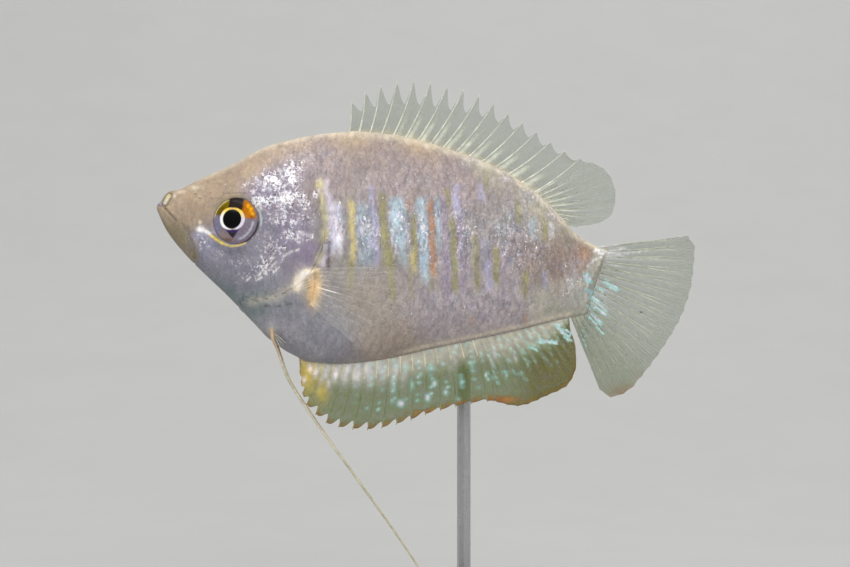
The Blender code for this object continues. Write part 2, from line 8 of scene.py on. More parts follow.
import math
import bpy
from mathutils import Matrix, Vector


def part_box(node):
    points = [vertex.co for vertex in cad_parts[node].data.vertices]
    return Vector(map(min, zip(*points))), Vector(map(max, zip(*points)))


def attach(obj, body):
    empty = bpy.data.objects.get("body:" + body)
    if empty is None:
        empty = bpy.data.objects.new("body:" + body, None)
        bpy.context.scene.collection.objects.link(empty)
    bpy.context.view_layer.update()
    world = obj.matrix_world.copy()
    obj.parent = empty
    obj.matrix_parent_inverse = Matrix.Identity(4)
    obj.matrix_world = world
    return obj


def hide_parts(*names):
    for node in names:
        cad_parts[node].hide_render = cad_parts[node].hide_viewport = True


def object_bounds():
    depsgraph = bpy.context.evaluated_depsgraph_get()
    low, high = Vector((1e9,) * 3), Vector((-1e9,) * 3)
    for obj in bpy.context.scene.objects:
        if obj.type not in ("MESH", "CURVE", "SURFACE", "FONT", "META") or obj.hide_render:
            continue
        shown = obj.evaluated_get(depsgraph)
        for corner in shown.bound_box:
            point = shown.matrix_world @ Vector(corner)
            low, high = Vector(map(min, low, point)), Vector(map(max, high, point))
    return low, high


bl_info = {
    "name": "Dwarf gourami",
    "version": (1, 0, 0),
    "blender": (4, 5, 0),
    "location": "3D View > Sidebar > Gourami",
    "description": "Builds the skin, scales, eyes and fins of a female dwarf gourami on a stand",
    "category": "Add Mesh",
}

import bpy
import numpy as np
from mathutils import Vector

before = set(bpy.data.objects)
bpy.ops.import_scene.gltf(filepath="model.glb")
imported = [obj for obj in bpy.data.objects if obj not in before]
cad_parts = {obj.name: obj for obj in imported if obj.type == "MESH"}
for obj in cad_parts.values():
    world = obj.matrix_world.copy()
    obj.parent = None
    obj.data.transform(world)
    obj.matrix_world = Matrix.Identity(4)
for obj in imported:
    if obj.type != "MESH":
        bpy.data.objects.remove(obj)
CAD_BOX = [list(corner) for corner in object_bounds()]

MM = 0.001
BODY = "root"
SIDES = (("left", -1), ("right", 1))

# Side outline of the flesh, half its thickness, and how sharp its edges are, along the fish
BACK_LINE = (
    (0.0, 0.05), (0.4, 0.38), (0.7, 0.9), (1.1, 1.36), (1.6, 1.6), (2.6, 1.74), (3.3, 2.1),
    (4.9, 2.95), (8.3, 4.4), (12.8, 6.7), (15.9, 7.55), (21.9, 8.3), (27.0, 7.85), (34.4, 5.9),
    (39.0, 4.1), (43.5, 1.25), (46.3, -1.5), (48.6, -3.75), (50.8, -4.9), (53.0, -5.1),
)
BELLY_LINE = (
    (0.0, -0.85), (0.35, -1.65), (1.0, -2.95), (2.6, -5.1), (8.3, -10.8), (12.8, -15.35),
    (15.1, -17.1), (17.4, -18.0), (20.8, -18.3), (24.5, -18.0), (32.1, -16.45), (41.2, -14.5),
    (47.7, -12.95), (50.8, -12.6), (53.0, -13.0),
)
HALF_WIDTH = (
    (0.0, 0.45), (0.35, 0.85), (1.5, 1.35), (3.2, 1.9), (4.9, 2.35), (8.9, 3.2), (11.7, 3.75),
    (15.1, 4.2), (20.0, 4.4), (27.6, 4.15), (33.3, 3.6), (39.0, 2.9), (43.5, 2.2), (47.5, 1.55),
    (50.8, 1.1), (53.0, 0.9),
)
BELLY_EDGE = ((0.0, 0.5), (9.0, 0.62), (15.0, 0.56), (22.0, 0.62), (30.0, 0.72), (53.0, 0.6))
BACK_EDGE = ((0.0, 0.5), (12.0, 0.56), (22.0, 0.64), (44.0, 0.66), (53.0, 0.55))
BACK_TOP = 8.3

MOUTH_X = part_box("lower_jaw")[0].x
MOUTH_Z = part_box("trunk")[1].z - BACK_TOP * MM

# Head
EYE = (9.3, -1.98)
EYE_RADIUS = 2.68
EYE_SURFACE = 3.15
EYE_TURN = (0.19, -0.10)
PUPIL = (-0.26, 0.13)
PUPIL_RADIUS = 1.1
GILL_CENTRE = (11.1, -2.6)
GILL_RADIUS = 8.4
GILL_ARC = (38.0, -98.0)
NAPE_LINE = ((14.0, 10.0), (15.8, 6.4))
THROAT_LINE = ((8.4, -12.2), (7.2, -14.0))
MOUTH_LINE = ((-1.0, 0.25), (0.1, -0.1), (0.95, -0.42), (1.5, -1.05), (2.3, -1.85))
JAW_LINE = ((2.9, -2.2), (3.6, -3.2), (4.3, -4.8), (4.4, -6.5), (3.9, -7.6))
CHEEK_LINE = ((4.45, -2.55), (5.4, -3.0), (6.5, -3.6))
LIP_LINE = ((0.98, 0.15), (1.42, 0.98))
NOSTRILS = (((4.5, 1.15), 0.16), ((5.05, 0.65), 0.16))
TAIL_ROOT = ((50.9, -2.0), (50.6, -4.0), (50.2, -4.9), (49.2, -7.2), (48.3, -10.2), (47.7, -12.9),
             (47.3, -15.0))
PECTORAL_LOBE = (17.6, -9.4)
RIM_SHADOW = ((19.95, -4.5), (19.85, -5.8), (19.85, -7.3))
TROUGH_LINE = ((16.3, -8.7), (15.7, -9.5), (14.0, -10.6), (11.0, -11.2))
RIM_BAND = ((18.8, 2.5), (19.1, 0.5), (19.5, -1.5), (19.65, -2.8), (19.3, -4.5), (18.85, -6.0),
            (18.6, -7.0))
PECTORAL_HOOK = ((16.3, -9.5), (16.55, -8.7), (17.2, -7.9), (18.2, -7.55))

# Fins: outer margins and roots in the side view
DORSAL_ROOT = (22.1, 46.6)
DORSAL_MARGIN = (
    (22.3, 11.8), (25.1, 13.55), (29.1, 14.3), (35.5, 13.2), (42.4, 9.3), (48.4, 5.4), (50.6, 4.6),
    (52.2, 3.1), (52.75, 1.0), (52.4, -0.9), (50.9, -2.1), (48.1, -2.6),
)
ANAL_ROOT = (16.4, 47.3)
ANAL_MARGIN = (
    (16.4, -19.4), (16.8, -22.3), (18.4, -24.4), (20.3, -25.6), (24.2, -26.0), (27.8, -25.3),
    (31.4, -24.1), (36.0, -23.0), (38.2, -22.7), (41.4, -23.2), (44.9, -22.0), (47.3, -20.7),
    (48.2, -18.4), (48.1, -16.4), (47.4, -14.3),
)
# For root and margin: the share of it that the spines take, and their crowding to the front
DORSAL_SPINE_SHARES, DORSAL_CROWDING = (0.86, 0.69), (1.1, 1.0)
ANAL_SPINE_SHARES, ANAL_CROWDING = (0.64, 0.61), (1.15, 1.15)
CAUDAL_MARGIN = (
    (61.2, -3.6), (62.0, -4.9), (61.7, -8.6), (60.6, -12.4), (58.4, -16.3), (55.9, -19.6),
    (54.0, -21.6), (52.3, -22.2), (50.9, -21.3),
)
CAUDAL_BASE = ((50.4, -5.0), (49.3, -7.4), (48.3, -10.2), (47.6, -12.8))
CAUDAL_SWEEP = 1.2
PECTORAL_ROOT = ((18.3, -7.4), (18.3, -9.4), (17.8, -11.4))
PECTORAL_MARGIN = ((26.4, -7.1), (29.0, -8.6), (29.5, -11.4), (28.0, -14.4), (23.6, -16.6))
PECTORAL_SPREAD = math.radians(13.0)
DORSAL_NOTCH = ((0.0, 0.42), (7.0, 0.34), (8.0, 0.3), (10.0, 0.2), (12.5, 0.14), (15.5, 0.05))
ANAL_NOTCH = ((0.0, 0.16), (3.0, 0.14), (7.0, 0.11), (11.0, 0.06), (16.5, 0.02))
PELVIC_ROOT = (13.3, -14.4)
PELVIC_PATH = (
    (14.0, -16.8, 1.9), (14.9, -19.4, 2.0), (17.8, -24.1, 2.1), (22.5, -30.7, 2.1),
    (27.0, -37.0, 1.9), (32.3, -44.9, 1.5),
)
PELVIC_RIGHT_DROP = 0.35

BAR_LEAN = -0.045
# Broad zones of colour, as (colour, back, up, reach)
ZONES = (
    ("snout", 4.0, 0.6, 2.2), ("snout", 7.6, 3.0, 1.8), ("jaw", 2.2, -4.0, 1.5), ("jaw", 4.4, -5.8, 1.1),
    ("back", 10.5, 5.0, 2.2), ("back", 15.0, 8.0, 2.2), ("back", 22.0, 8.4, 2.2),
    ("back", 30.0, 7.2, 2.2), ("stalk_top", 38.0, 4.6, 2.2), ("stalk_top", 44.5, 0.0, 2.0),
    ("cheek", 5.8, -6.0, 2.0), ("cheek", 10.0, -7.5, 2.8), ("cheek", 13.2, -3.4, 1.5),
    ("cover", 15.5, -3.5, 2.4), ("cover", 13.4, 1.5, 2.0), ("cover", 17.6, -5.5, 1.5),
    ("throat", 8.0, -11.0, 2.4), ("throat", 11.5, -11.8, 2.0), ("belly", 12.8, -14.2, 2.6),
    ("belly", 18.8, -14.8, 3.2), ("belly_warm", 27.0, -15.2, 3.0), ("belly_warm", 25.0, -11.0, 2.4),
    ("upper_flank", 20.0, 3.6, 3.0), ("upper_flank", 28.0, 3.6, 3.4), ("upper_flank", 35.0, 1.8, 3.0),
    ("flank", 22.0, -4.0, 3.6), ("flank", 30.0, -4.0, 3.8), ("flank", 38.0, -3.5, 3.8),
    ("lower_flank", 32.0, -12.0, 3.6), ("lower_flank", 39.0, -11.0, 3.6),
    ("stalk", 44.0, -7.0, 2.4), ("stalk", 47.5, -5.5, 2.0), ("stalk_low", 45.5, -11.3, 2.4),
    ("stalk_low", 47.6, -10.6, 1.6), ("stalk_top", 48.0, -3.2, 1.0),
)
# Upright bands, as (colour, back, top, bottom, half width, strength)
BANDS = (
    ("pale_band", 20.7, 0.0, -5.6, 0.69, 0.85), ("blue_band", 24.0, -0.2, -7.0, 0.85, 0.5),
    ("violet_band", 24.7, 2.1, -0.1, 0.35, 0.50), ("violet_band", 25.1, -0.4, -7.0, 0.4, 0.55),
    ("gold_band", 22.6, 0.3, -6.7, 0.36, 0.90), ("olive_band", 22.4, -6.3, -9.7, 0.35, 0.60),
    ("olive_band", 26.1, 1.0, -4.4, 0.37, 0.85), ("olive_band", 26.5, -3.3, -7.4, 0.58, 0.60),
    ("olive_band", 27.0, -4.8, -11.0, 0.37, 0.65), ("blue_band", 27.5, 0.6, -4.4, 0.66, 0.90),
    ("blue_band", 28.2, 0.5, -6.7, 0.48, 0.60), ("rust_band", 28.9, 0.5, -0.8, 0.35, 0.35),
    ("olive_band", 29.6, -1.4, -7.4, 0.35, 0.70), ("gold_band", 29.5, -5.6, -7.8, 0.28, 0.60),
    ("olive_band", 29.3, -7.4, -11.0, 0.25, 0.40), ("blue_band", 30.6, 0.6, -8.7, 0.52, 0.8),
    ("rust_band", 31.6, 0.3, -8.3, 0.36, 0.78), ("olive_band", 31.5, -8.1, -9.9, 0.29, 0.40),
    ("blue_band", 32.3, 0.6, -5.0, 0.28, 0.6), ("mauve_band", 33.1, 1.2, -11.0, 0.48, 0.50),
    ("olive_band", 33.4, 1.7, -0.4, 0.32, 0.45), ("olive_band", 34.1, -1.7, -10.1, 0.35, 0.55),
    ("violet_band", 34.4, 2.2, -1.5, 0.52, 0.50), ("mauve_band", 35.0, -1.7, -10.1, 0.46, 0.45),
    ("olive_band", 36.6, -3.7, -10.1, 0.30, 0.50), ("violet_band", 37.2, 2.2, 0.3, 0.52, 0.40),
    ("violet_band", 37.5, -4.0, -6.2, 0.40, 0.35), ("violet_band", 38.0, -6.2, -9.7, 0.44, 0.50),
    ("olive_band", 37.9, 3.3, 1.3, 0.30, 0.30), ("olive_band", 38.9, -4.9, -9.2, 0.35, 0.55),
    ("mauve_band", 39.8, -5.3, -7.8, 0.48, 0.45), ("olive_band", 41.4, 0.0, -2.4, 0.35, 0.45),
    ("olive_band", 42.2, -7.8, -10.7, 0.35, 0.50), ("blue_band", 43.1, -1.8, -3.7, 0.35, 0.60),
    ("olive_band", 44.5, -1.4, -4.4, 0.35, 0.45), ("pale_band", 45.2, -2.1, -3.7, 0.26, 0.40),
    ("violet_band", 44.5, -7.8, -9.5, 0.39, 0.45),
    ("rust_band", 42.3, -12.4, -14.0, 0.28, 0.40), ("rust_band", 36.2, -12.8, -14.0, 0.35, 0.30),
)
# Bands that carry few painted glints
WARM_BANDS = ("gold_band", "olive_band", "rust_band")
# Short bright strokes of silvery skin on the head, their white painted highlight, from one place to another
STROKES = (
    (16.63, -3.41, 18.0, -3.69), (14.82, -6.02, 15.27, -5.74), (15.38, -5.68, 15.73, -5.45),
    (16.18, -5.4, 16.52, -5.23), (15.73, -3.98, 16.63, -4.43), (11.64, -8.75, 12.21, -8.4),
    (11.98, -8.18, 12.55, -7.38), (12.55, -7.61, 13.0, -6.7), (13.23, -6.25, 13.8, -6.13),
    (12.77, -7.84, 13.91, -6.7), (13.68, -7.84, 14.25, -7.27), (10.5, -8.75, 10.96, -8.4),
    (14.02, 4.08, 14.48, 3.06), (14.7, 3.97, 15.38, 3.63), (15.5, 3.51, 16.18, 2.83),
    (12.32, 1.47, 13.23, 1.81), (11.64, 0.11, 12.32, -0.69), (14.82, 1.92, 15.73, 2.6),
    (13.91, 0.79, 14.7, 1.24), (14.36, -0.35, 15.04, 0.67), (18.22, 0.79, 18.68, 1.36),
)
# Shining strokes at the tail root, from one place to another, as (..., half width, strength)
GLEAMS = (
    (51.6, -8.9, 52.8, -9.8, 0.25, 1.0), (49.25, -8.25, 49.7, -8.9, 0.26, 1.0),
    (49.4, -9.9, 50.2, -10.4, 0.2, 1.0), (50.05, -10.75, 51.4, -12.4, 0.3, 1.0),
    (49.5, -11.7, 50.4, -12.1, 0.14, 0.9), (49.9, -12.8, 50.8, -13.7, 0.27, 1.0),
    (48.8, -14.4, 49.4, -16.4, 0.12, 0.5), (46.05, -13.9, 47.4, -15.6, 0.19, 1.0),
    (44.0, -15.7, 45.9, -15.9, 0.17, 1.0), (47.0, -14.4, 47.6, -14.9, 0.12, 0.9),
    (50.6, -9.5, 51.2, -10.0, 0.13, 0.8), (50.6, -14.1, 51.3, -14.9, 0.12, 0.6),
    (51.3, -12.0, 52.2, -13.0, 0.11, 0.6), (42.8, -16.4, 43.6, -16.7, 0.12, 0.6),
)
# White painted highlights at the tail root, in the same form
WHITE_HIGHLIGHTS = (
    (50.9, -5.7, 53.7, -5.1, 0.16, 1.0), (51.7, -6.1, 53.2, -5.8, 0.13, 0.9),
    (50.0, -6.5, 50.9, -6.1, 0.1, 0.7), (54.0, -5.6, 58.0, -5.1, 0.1, 0.6),
    (54.7, -6.2, 58.7, -6.4, 0.1, 0.5), (52.0, -7.0, 53.4, -7.1, 0.1, 0.5),
    (50.3, -5.3, 51.2, -5.3, 0.14, 0.9), (49.4, -7.1, 49.9, -6.7, 0.09, 0.5),
)
# Patches of bright silver, partly painted highlight, as (back, up, reach along, reach up, strength)
GLITTER = (
    (12.4, 0.2, 1.5, 0.9, 1.0), (15.2, 0.7, 1.9, 1.1, 1.0), (17.0, 0.2, 1.0, 0.9, 0.7),
    (13.3, 2.5, 1.7, 1.2, 0.95), (15.6, 3.4, 1.2, 1.7, 0.95), (14.6, -1.5, 2.2, 1.2, 0.6),
    (17.5, -1.6, 0.8, 1.1, 0.4), (11.0, 2.0, 1.1, 0.8, 0.5), (18.4, 1.0, 0.35, 0.4, 1.0),
    (15.6, -3.5, 1.5, 0.8, 0.62), (17.2, -3.9, 1.0, 0.5, 0.62), (14.7, -5.0, 0.8, 0.9, 0.5),
    (12.7, -7.0, 1.4, 1.5, 0.6), (16.6, -8.2, 0.7, 0.8, 0.3), (12.3, -3.6, 1.6, 1.2, 0.25),
    (5.5, -4.1, 0.9, 1.2, 0.42), (9.8, -6.6, 2.2, 1.0, 0.24), (7.4, -5.8, 1.2, 0.9, 0.22),
    (13.4, -5.2, 1.9, 1.6, 0.45), (16.0, -2.0, 1.4, 1.4, 0.5), (10.8, -8.2, 1.6, 0.7, 0.3),
    (36.5, 4.7, 1.8, 0.8, 0.28), (40.0, 3.0, 1.6, 1.0, 0.36), (43.0, 0.8, 1.5, 1.2, 0.4),
    (45.6, -1.4, 1.4, 1.2, 0.36), (47.2, -9.6, 0.9, 1.6, 0.25),
)
# Patches of pearly tint and fine painted glints in the same form
PEARL = (
    (20.8, -2.5, 1.0, 3.0, 1.0), (24.4, -3.2, 1.7, 3.8, 0.9), (27.9, -3.0, 1.6, 3.8, 1.0),
    (31.2, -3.8, 1.8, 4.8, 0.95), (34.8, -3.8, 2.4, 6.2, 0.65), (41.0, -4.2, 4.8, 5.7, 0.55),
    (28.6, 2.6, 10.0, 2.6, 0.3), (35.9, -11.1, 8.0, 3.0, 0.38), (17.5, 4.8, 4.0, 2.6, 0.4),
    (47.8, -8.2, 2.0, 3.6, 0.4),
)
# The pupil's bright ring round its angle, as (degrees, width, colour)
PUPIL_RING = (
    (0, 0.4, "lilac_white"), (38, 0.34, "yellow"), (88, 0.2, "ring_gold"), (128, 0.34, "yellow"),
    (165, 0.36, "spark"), (215, 0.34, "spark"), (250, 0.2, "lilac_white"), (276, 0.12, "olive_band"),
    (300, 0.26, "lilac_white"), (330, 0.36, "lilac_white"), (360, 0.4, "lilac_white"),
)
# Lines below the eye, as (colour, strength, shade, reach, places)
EYE_LINES = (
    ("olive_band", 0.8, 0.5, 0.08, ((5.85, -2.85), (6.45, -3.2))),
    ("olive_band", 0.8, 0.6, 0.1, ((6.5, -3.42), (7.15, -3.92), (7.9, -4.4))),
    ("yellow", 1.6, 1.0, 0.12, ((6.4, -3.62), (7.06, -4.12), (7.75, -4.55))),
    ("yellow", 0.8, 1.0, 0.11, ((7.75, -4.55), (8.7, -4.88), (9.6, -4.78), (10.4, -4.5))),
)


def smooth(table, at):
    """Values of a line through the table's points: cubic between neighbours, with slopes that
    are the weighted harmonic mean of the two sides, so that it never overshoots."""
    places, values = (np.array(column, float) for column in zip(*table))
    at = np.clip(np.asarray(at, float), places[0], places[-1])
    steps = np.diff(places)
    slopes = np.diff(values) / steps
    before, after = slopes[:-1], slopes[1:]
    weight_before, weight_after = steps[:-1] + 2 * steps[1:], 2 * steps[:-1] + steps[1:]
    mean = np.divide(
        (weight_before + weight_after) * before * after,
        weight_before * after + weight_after * before,
        out=np.zeros_like(before), where=before * after > 0,
    )
    tangents = np.concatenate([slopes[:1], mean, slopes[-1:]])
    index = np.clip(np.searchsorted(places, at, side="right") - 1, 0, len(steps) - 1)
    span = steps[index]
    t = (at - places[index]) / span
    return (
        values[index] * (1 + 2 * t) * (1 - t) ** 2
        + span * tangents[index] * t * (1 - t) ** 2
        + values[index + 1] * t * t * (3 - 2 * t)
        + span * tangents[index + 1] * t * t * (t - 1)
    )


def ease(t):
    """3 t squared less 2 t cubed, held at 0 below 0 and at 1 above 1."""
    t = np.clip(t, 0.0, 1.0)
    return t * t * (3 - 2 * t)


def bell(distance, reach):
    """e to the power of minus the square of distance over reach."""
    return np.exp(-((distance / reach) ** 2))


def between(value, start, rise, end, fall):
    """Rises from 0 to 1 past the start and falls back to 0 past the end, each over its own length."""
    return ease((value - start) / rise) * (1 - ease((value - end) / fall))


def along(points, shares):
    """Points on the smooth curve through the given ones, at shares of its length."""
    points = np.array(points, float)
    run = np.concatenate([[0.0], np.cumsum(np.linalg.norm(np.diff(points, axis=0), axis=1))])
    run /= run[-1]
    return np.stack([smooth(list(zip(run, column)), shares) for column in points.T], axis=-1)


def line_distance(back, up, line):
    """Distance in the side view from each place to a line of straight pieces."""
    nearest = np.full(np.shape(back), np.inf)
    for (ax, az), (bx, bz) in zip(line, line[1:]):
        length = (bx - ax) ** 2 + (bz - az) ** 2
        t = np.clip(((back - ax) * (bx - ax) + (up - az) * (bz - az)) / length, 0, 1)
        nearest = np.minimum(nearest, np.hypot(back - ax - t * (bx - ax), up - az - t * (bz - az)))
    return nearest


def place(back, across, up):
    """Points in metres in the frame, from places on the fish in millimetres."""
    back, across, up = np.broadcast_arrays(back, across, up)
    return np.stack([MOUTH_X + back * MM, across * MM, MOUTH_Z + up * MM], axis=-1)


def eye_distance(back, up):
    return np.hypot(back - EYE[0], up - EYE[1]) / EYE_RADIUS


def rim_line():
    """The rear rim of the gill cover: down the nape, round an arc and out at the throat."""
    angles = np.radians(np.linspace(*GILL_ARC, 60))
    arc = np.stack([GILL_CENTRE[0] + GILL_RADIUS * np.cos(angles),
                    GILL_CENTRE[1] + GILL_RADIUS * np.sin(angles)], axis=1)
    line = np.vstack([NAPE_LINE, arc, THROAT_LINE])
    shares = np.linspace(0, 1, 600)
    run = np.concatenate([[0], np.cumsum(np.linalg.norm(np.diff(line, axis=0), axis=1))])
    return np.stack([np.interp(shares, run / run[-1], column) for column in line.T], axis=1)


def crossing(line):
    """For a line that runs down the side, its back at each share of the way from belly to
    back line, as a function of that share."""
    line = np.array(line, float)
    top, bottom = smooth(BACK_LINE, line[:, 0]), smooth(BELLY_LINE, line[:, 0])
    height = (line[:, 1] - bottom) / (top - bottom)
    order = np.argsort(height)
    return lambda share: np.interp(share, height[order], line[order, 0])


RIM_BACK = crossing(rim_line())
ROOT_BACK = crossing(along(TAIL_ROOT, np.linspace(0, 1, 80)))


def behind_rim(back, up):
    """How far a place lies behind the gill cover's rim, in millimetres, negative on the cover."""
    top, bottom = smooth(BACK_LINE, back), smooth(BELLY_LINE, back)
    return back - RIM_BACK(np.clip((up - bottom) / (top - bottom), 0, 1))


def gill_rise(back, up, offset, height):
    """The cover swells towards its free rim, most below its middle, and ends in a short step."""
    dx, dz = back - GILL_CENTRE[0], up - GILL_CENTRE[1]
    free = ease((0.85 * dx - 0.5 * dz - 0.5) / 5.0) * ease((dz + 9.4) / 2.5)
    return height * free * ease((offset + 4.0) / 3.6) * (1 - ease((offset + 0.02) / 0.12))


def half_width(back, up):
    """Half the body's thickness: an oval section sharpened at back and belly, flattened to a
    ring round the eye."""
    top, bottom = smooth(BACK_LINE, back), smooth(BELLY_LINE, back)
    t = np.clip((2 * up - top - bottom) / (top - bottom), -1.0, 1.0)
    edge = np.where(t > 0, smooth(BACK_EDGE, back), smooth(BELLY_EDGE, back))
    across = smooth(HALF_WIDTH, back) * (1 - t * t) ** edge
    orbit = EYE_SURFACE + EYE_TURN[0] * (back - EYE[0]) + EYE_TURN[1] * (up - EYE[1])
    return across + (orbit - across) * (1 - ease((eye_distance(back, up) - 1.1) / 0.38))


def relief(back, up, offset, sizes):
    """Height of the skin's own forms above the plain body, in millimetres."""
    depth = sizes.relief
    mouth = line_distance(back, up, MOUTH_LINE[2:])
    front = line_distance(back, up, MOUTH_LINE)
    lip = line_distance(back, up, LIP_LINE)
    lips = 0.07 * bell(mouth - 0.3, 0.2) * (back < 2.8) - 0.16 * bell(mouth, 0.07)
    lips += 0.1 * bell(lip, 0.22) - 0.1 * bell(lip - 0.38, 0.09) - 0.12 * bell(front, 0.08) * (back < 1.2)
    jaw = -0.09 * bell(line_distance(back, up, JAW_LINE), 0.12)
    cheek = -0.07 * bell(line_distance(back, up, CHEEK_LINE), 0.13)
    from_eye = eye_distance(back, up)
    orbit = 0.05 * bell(from_eye - 1.08, 0.05) - 1.1 * (1 - ease((from_eye - 0.88) / 0.1))
    ring = np.hypot(back - EYE[0] + 0.6, up - EYE[1])
    plates = -0.045 * bell(ring - 4.6, 0.22) * (up < EYE[1] + 1.0)
    plates += 0.05 * bell(ring - 5.1, 0.5) * (offset < -1.0)
    plates -= 0.06 * bell(line_distance(back, up, ((13.6, -1.0), (13.9, -5.5), (10.6, -9.6))), 0.14)
    nostrils = 0.0
    for (x, z), radius in NOSTRILS:
        from_pit = np.hypot(back - x, (up - z) * 1.5)
        nostrils = nostrils - 0.16 * bell(from_pit, radius * 0.8)
        nostrils = nostrils + 0.05 * bell(np.hypot(back - x, up - z - radius * 1.1), radius * 0.7)
    gap = -0.03 * bell(offset - 0.12, 0.2) * (offset > 0) * ease((up + 12.5) / 1.5)
    gap = gap * (1 - ease((up - 0.5) / 3.0))
    lobe = 0.5 * bell(np.hypot((back - PECTORAL_LOBE[0]) / 1.2, (up - PECTORAL_LOBE[1]) / 2.0), 1.0)
    pelvic = 0.3 * bell(np.hypot(back - PELVIC_ROOT[0], up - PELVIC_ROOT[1]), 1.0)
    top, bottom = smooth(BACK_LINE, back), smooth(BELLY_LINE, back)
    fin_back = between(back, DORSAL_ROOT[0] - 0.6, 1.2, DORSAL_ROOT[1], 1.0)
    fin_belly = between(back, ANAL_ROOT[0] - 0.6, 1.2, ANAL_ROOT[1], 1.0)
    sheath = 0.22 * fin_back * bell(top - up, 0.6) + 0.12 * fin_belly * bell(up - bottom, 0.5)
    return depth * (lips + jaw + cheek + orbit + plates + nostrils + gap + lobe + pelvic + sheath)


def linear(colour):
    """Display colours turned into the linear ones that shaders and attributes take."""
    colour = np.asarray(colour, float)
    return np.where(colour <= 0.04045, colour / 12.92, ((colour + 0.055) / 1.055) ** 2.4)


def patches(back, up, table):
    """The strongest of the table's soft oval patches at each place."""
    amount = np.zeros(np.shape(back))
    for x, z, along_reach, up_reach, strength in table:
        oval = np.hypot((back - x) / along_reach, (up - z) / up_reach)
        amount = np.maximum(amount, strength * bell(oval, 1.0))
    return amount


class Paint:
    """Colours at places seen from the side, in linear light, built up in layers of named ones."""

    def __init__(self, colours, first, back, up):
        self.colours, self.back, self.up = colours, back, up
        self.colour = np.broadcast_to(self.tone(first), (*np.shape(back), 3))

    def tone(self, name, shade=1.0):
        return linear(getattr(self.colours, name)) * shade

    def blend(self, other, amount):
        """Moves the colours towards another by an amount, which is held between 0 and 1."""
        amount = np.clip(amount, 0, 1)[..., None]
        self.colour = self.colour + (other - self.colour) * amount
        return self.colour

    def lay(self, name, amount, shade=1.0):
        """Blends towards a named colour, made darker or lighter by shade."""
        return self.blend(self.tone(name, shade), amount)

    def near(self, line, reach):
        """A soft line: 1 on it, falling off over the reach."""
        return bell(line_distance(self.back, self.up, line), reach)

    def spot(self, x, z, along_reach, up_reach):
        """A soft oval: 1 at its middle, falling off over its reaches."""
        return bell(np.hypot((self.back - x) / along_reach, (self.up - z) / up_reach), 1.0)

    def patches(self, *table):
        return patches(self.back, self.up, table)


def band_amount(back, up, name, x, top, bottom, half, strength):
    """Strength of one upright soft-edged band at each place; it wavers and fades in places."""
    middle = x + BAR_LEAN * (up - (top + bottom) / 2) + 0.07 * np.sin(up * 1.9 + x)
    middle = middle + 0.06 * np.sin(up * 7.1 + 2 * x) + 0.05 * np.sin(up * 12.7 + 5 * x)
    ends = ease((top - up) / 1.0 + 0.5) * ease((up - bottom) / 1.6 + 0.5)
    sides = 1 - ease((np.abs(back - middle) / half - 0.45) / 0.95)
    broken = 0.84 + 0.16 * np.sin(up * 4.3 + 3 * x) * np.sin(up * 1.7 + x)
    boost = 1.7 if x > 32.5 and name == "olive_band" else 1.25
    return min(strength * boost, 0.97) * ends * sides * broken


def pearl(back, up):
    """Strength of the pearly tint and its fine painted glints: high between the warm bands and low on them.
    """
    warm = np.zeros(np.shape(back))
    for band in BANDS:
        if band[0] in WARM_BANDS:
            warm = np.maximum(warm, band_amount(back, up, *band))
    return patches(back, up, PEARL) * (1 - 0.9 * warm)


def strokes(back, up, half):
    """The head's short bright strokes, as a strength from 0 to 1."""
    amount = np.zeros(np.shape(back))
    for ax, az, bx, bz in STROKES:
        amount = np.maximum(amount, bell(line_distance(back, up, ((ax, az), (bx, bz))), half))
    return amount


def gleams(back, up, table):
    """Strength of the table's strokes at each place, from 0 to 1."""
    amount = np.zeros(np.shape(back))
    broken = np.sin(7.3 * back + 4.1 * up) * np.sin(9.7 * up - 3.3 * back)
    for ax, az, bx, bz, half, strength in table:
        away = line_distance(back, up, ((ax, az), (bx, bz))) + 0.12 * broken
        amount = np.maximum(amount, np.minimum(1.5 * strength * bell(away, half * 1.1), strength))
    return amount * (0.8 + 0.2 * np.sin(11.0 * up + 7.0 * back))


def tail_gleams(paint):
    """Lays the shining strokes: blue green with painted white highlights as cores, and plain white painted
    highlights.
    """
    amount = gleams(paint.back, paint.up, GLEAMS)
    paint.lay("turquoise", ease(amount / 0.6))
    paint.lay("lilac_white", ease((amount - 0.66) / 0.3))
    paint.lay("spark", gleams(paint.back, paint.up, WHITE_HIGHLIGHTS))


def around_eye(paint):
    """Colours of the skin round the eye: the bright line below it and the white wedge that runs
    on towards the mouth, the pale arc behind, a darker olive over the orbit's upper edge, and
    painted shade in the crease along its lower rear edge."""
    from_eye = eye_distance(paint.back, paint.up)
    behind, above = paint.back - EYE[0], paint.up - EYE[1]
    paint.lay("olive_band", 0.4 * bell(from_eye - 1.08, 0.08) * ease((above - 0.6) / 1.2), 0.8)
    # Painted shade in the crease along the orbit's lower rear edge.
    low = ease(0.6 - above) * ease((behind + 0.4) / 1.2)
    paint.lay("dark", 0.5 * bell(from_eye - 1.01, 0.045) * low)
    paint.lay("violet_band", 0.75 * paint.patches(
        (5.2, -3.6, 0.9, 0.5, 0.8), (6.0, -4.6, 1.0, 1.1, 0.5), (7.0, -3.2, 0.5, 0.4, 0.7)))
    paint.lay("spark", 1.5 * paint.near(((4.98, -2.95), (5.5, -2.95), (6.3, -3.4)), 0.2))
    paint.lay("spark", 1.5 * paint.spot(5.15, -2.9, 0.36, 0.3))
    paint.lay("cream", 1.4 * paint.spot(5.14, -2.1, 0.18, 0.225))
    for name, strength, shade, reach, line in EYE_LINES:
        paint.lay(name, strength * paint.near(line, reach), shade)
    arc = bell(from_eye - 1.09, 0.04) * ease((behind - 1.6) / 0.6)
    paint.lay("pale_aqua", 0.85 * arc * ease((above + 0.9) / 0.8))
    paint.lay("dark", 0.8 * paint.spot(6.72, -2.0, 0.13, 0.13))


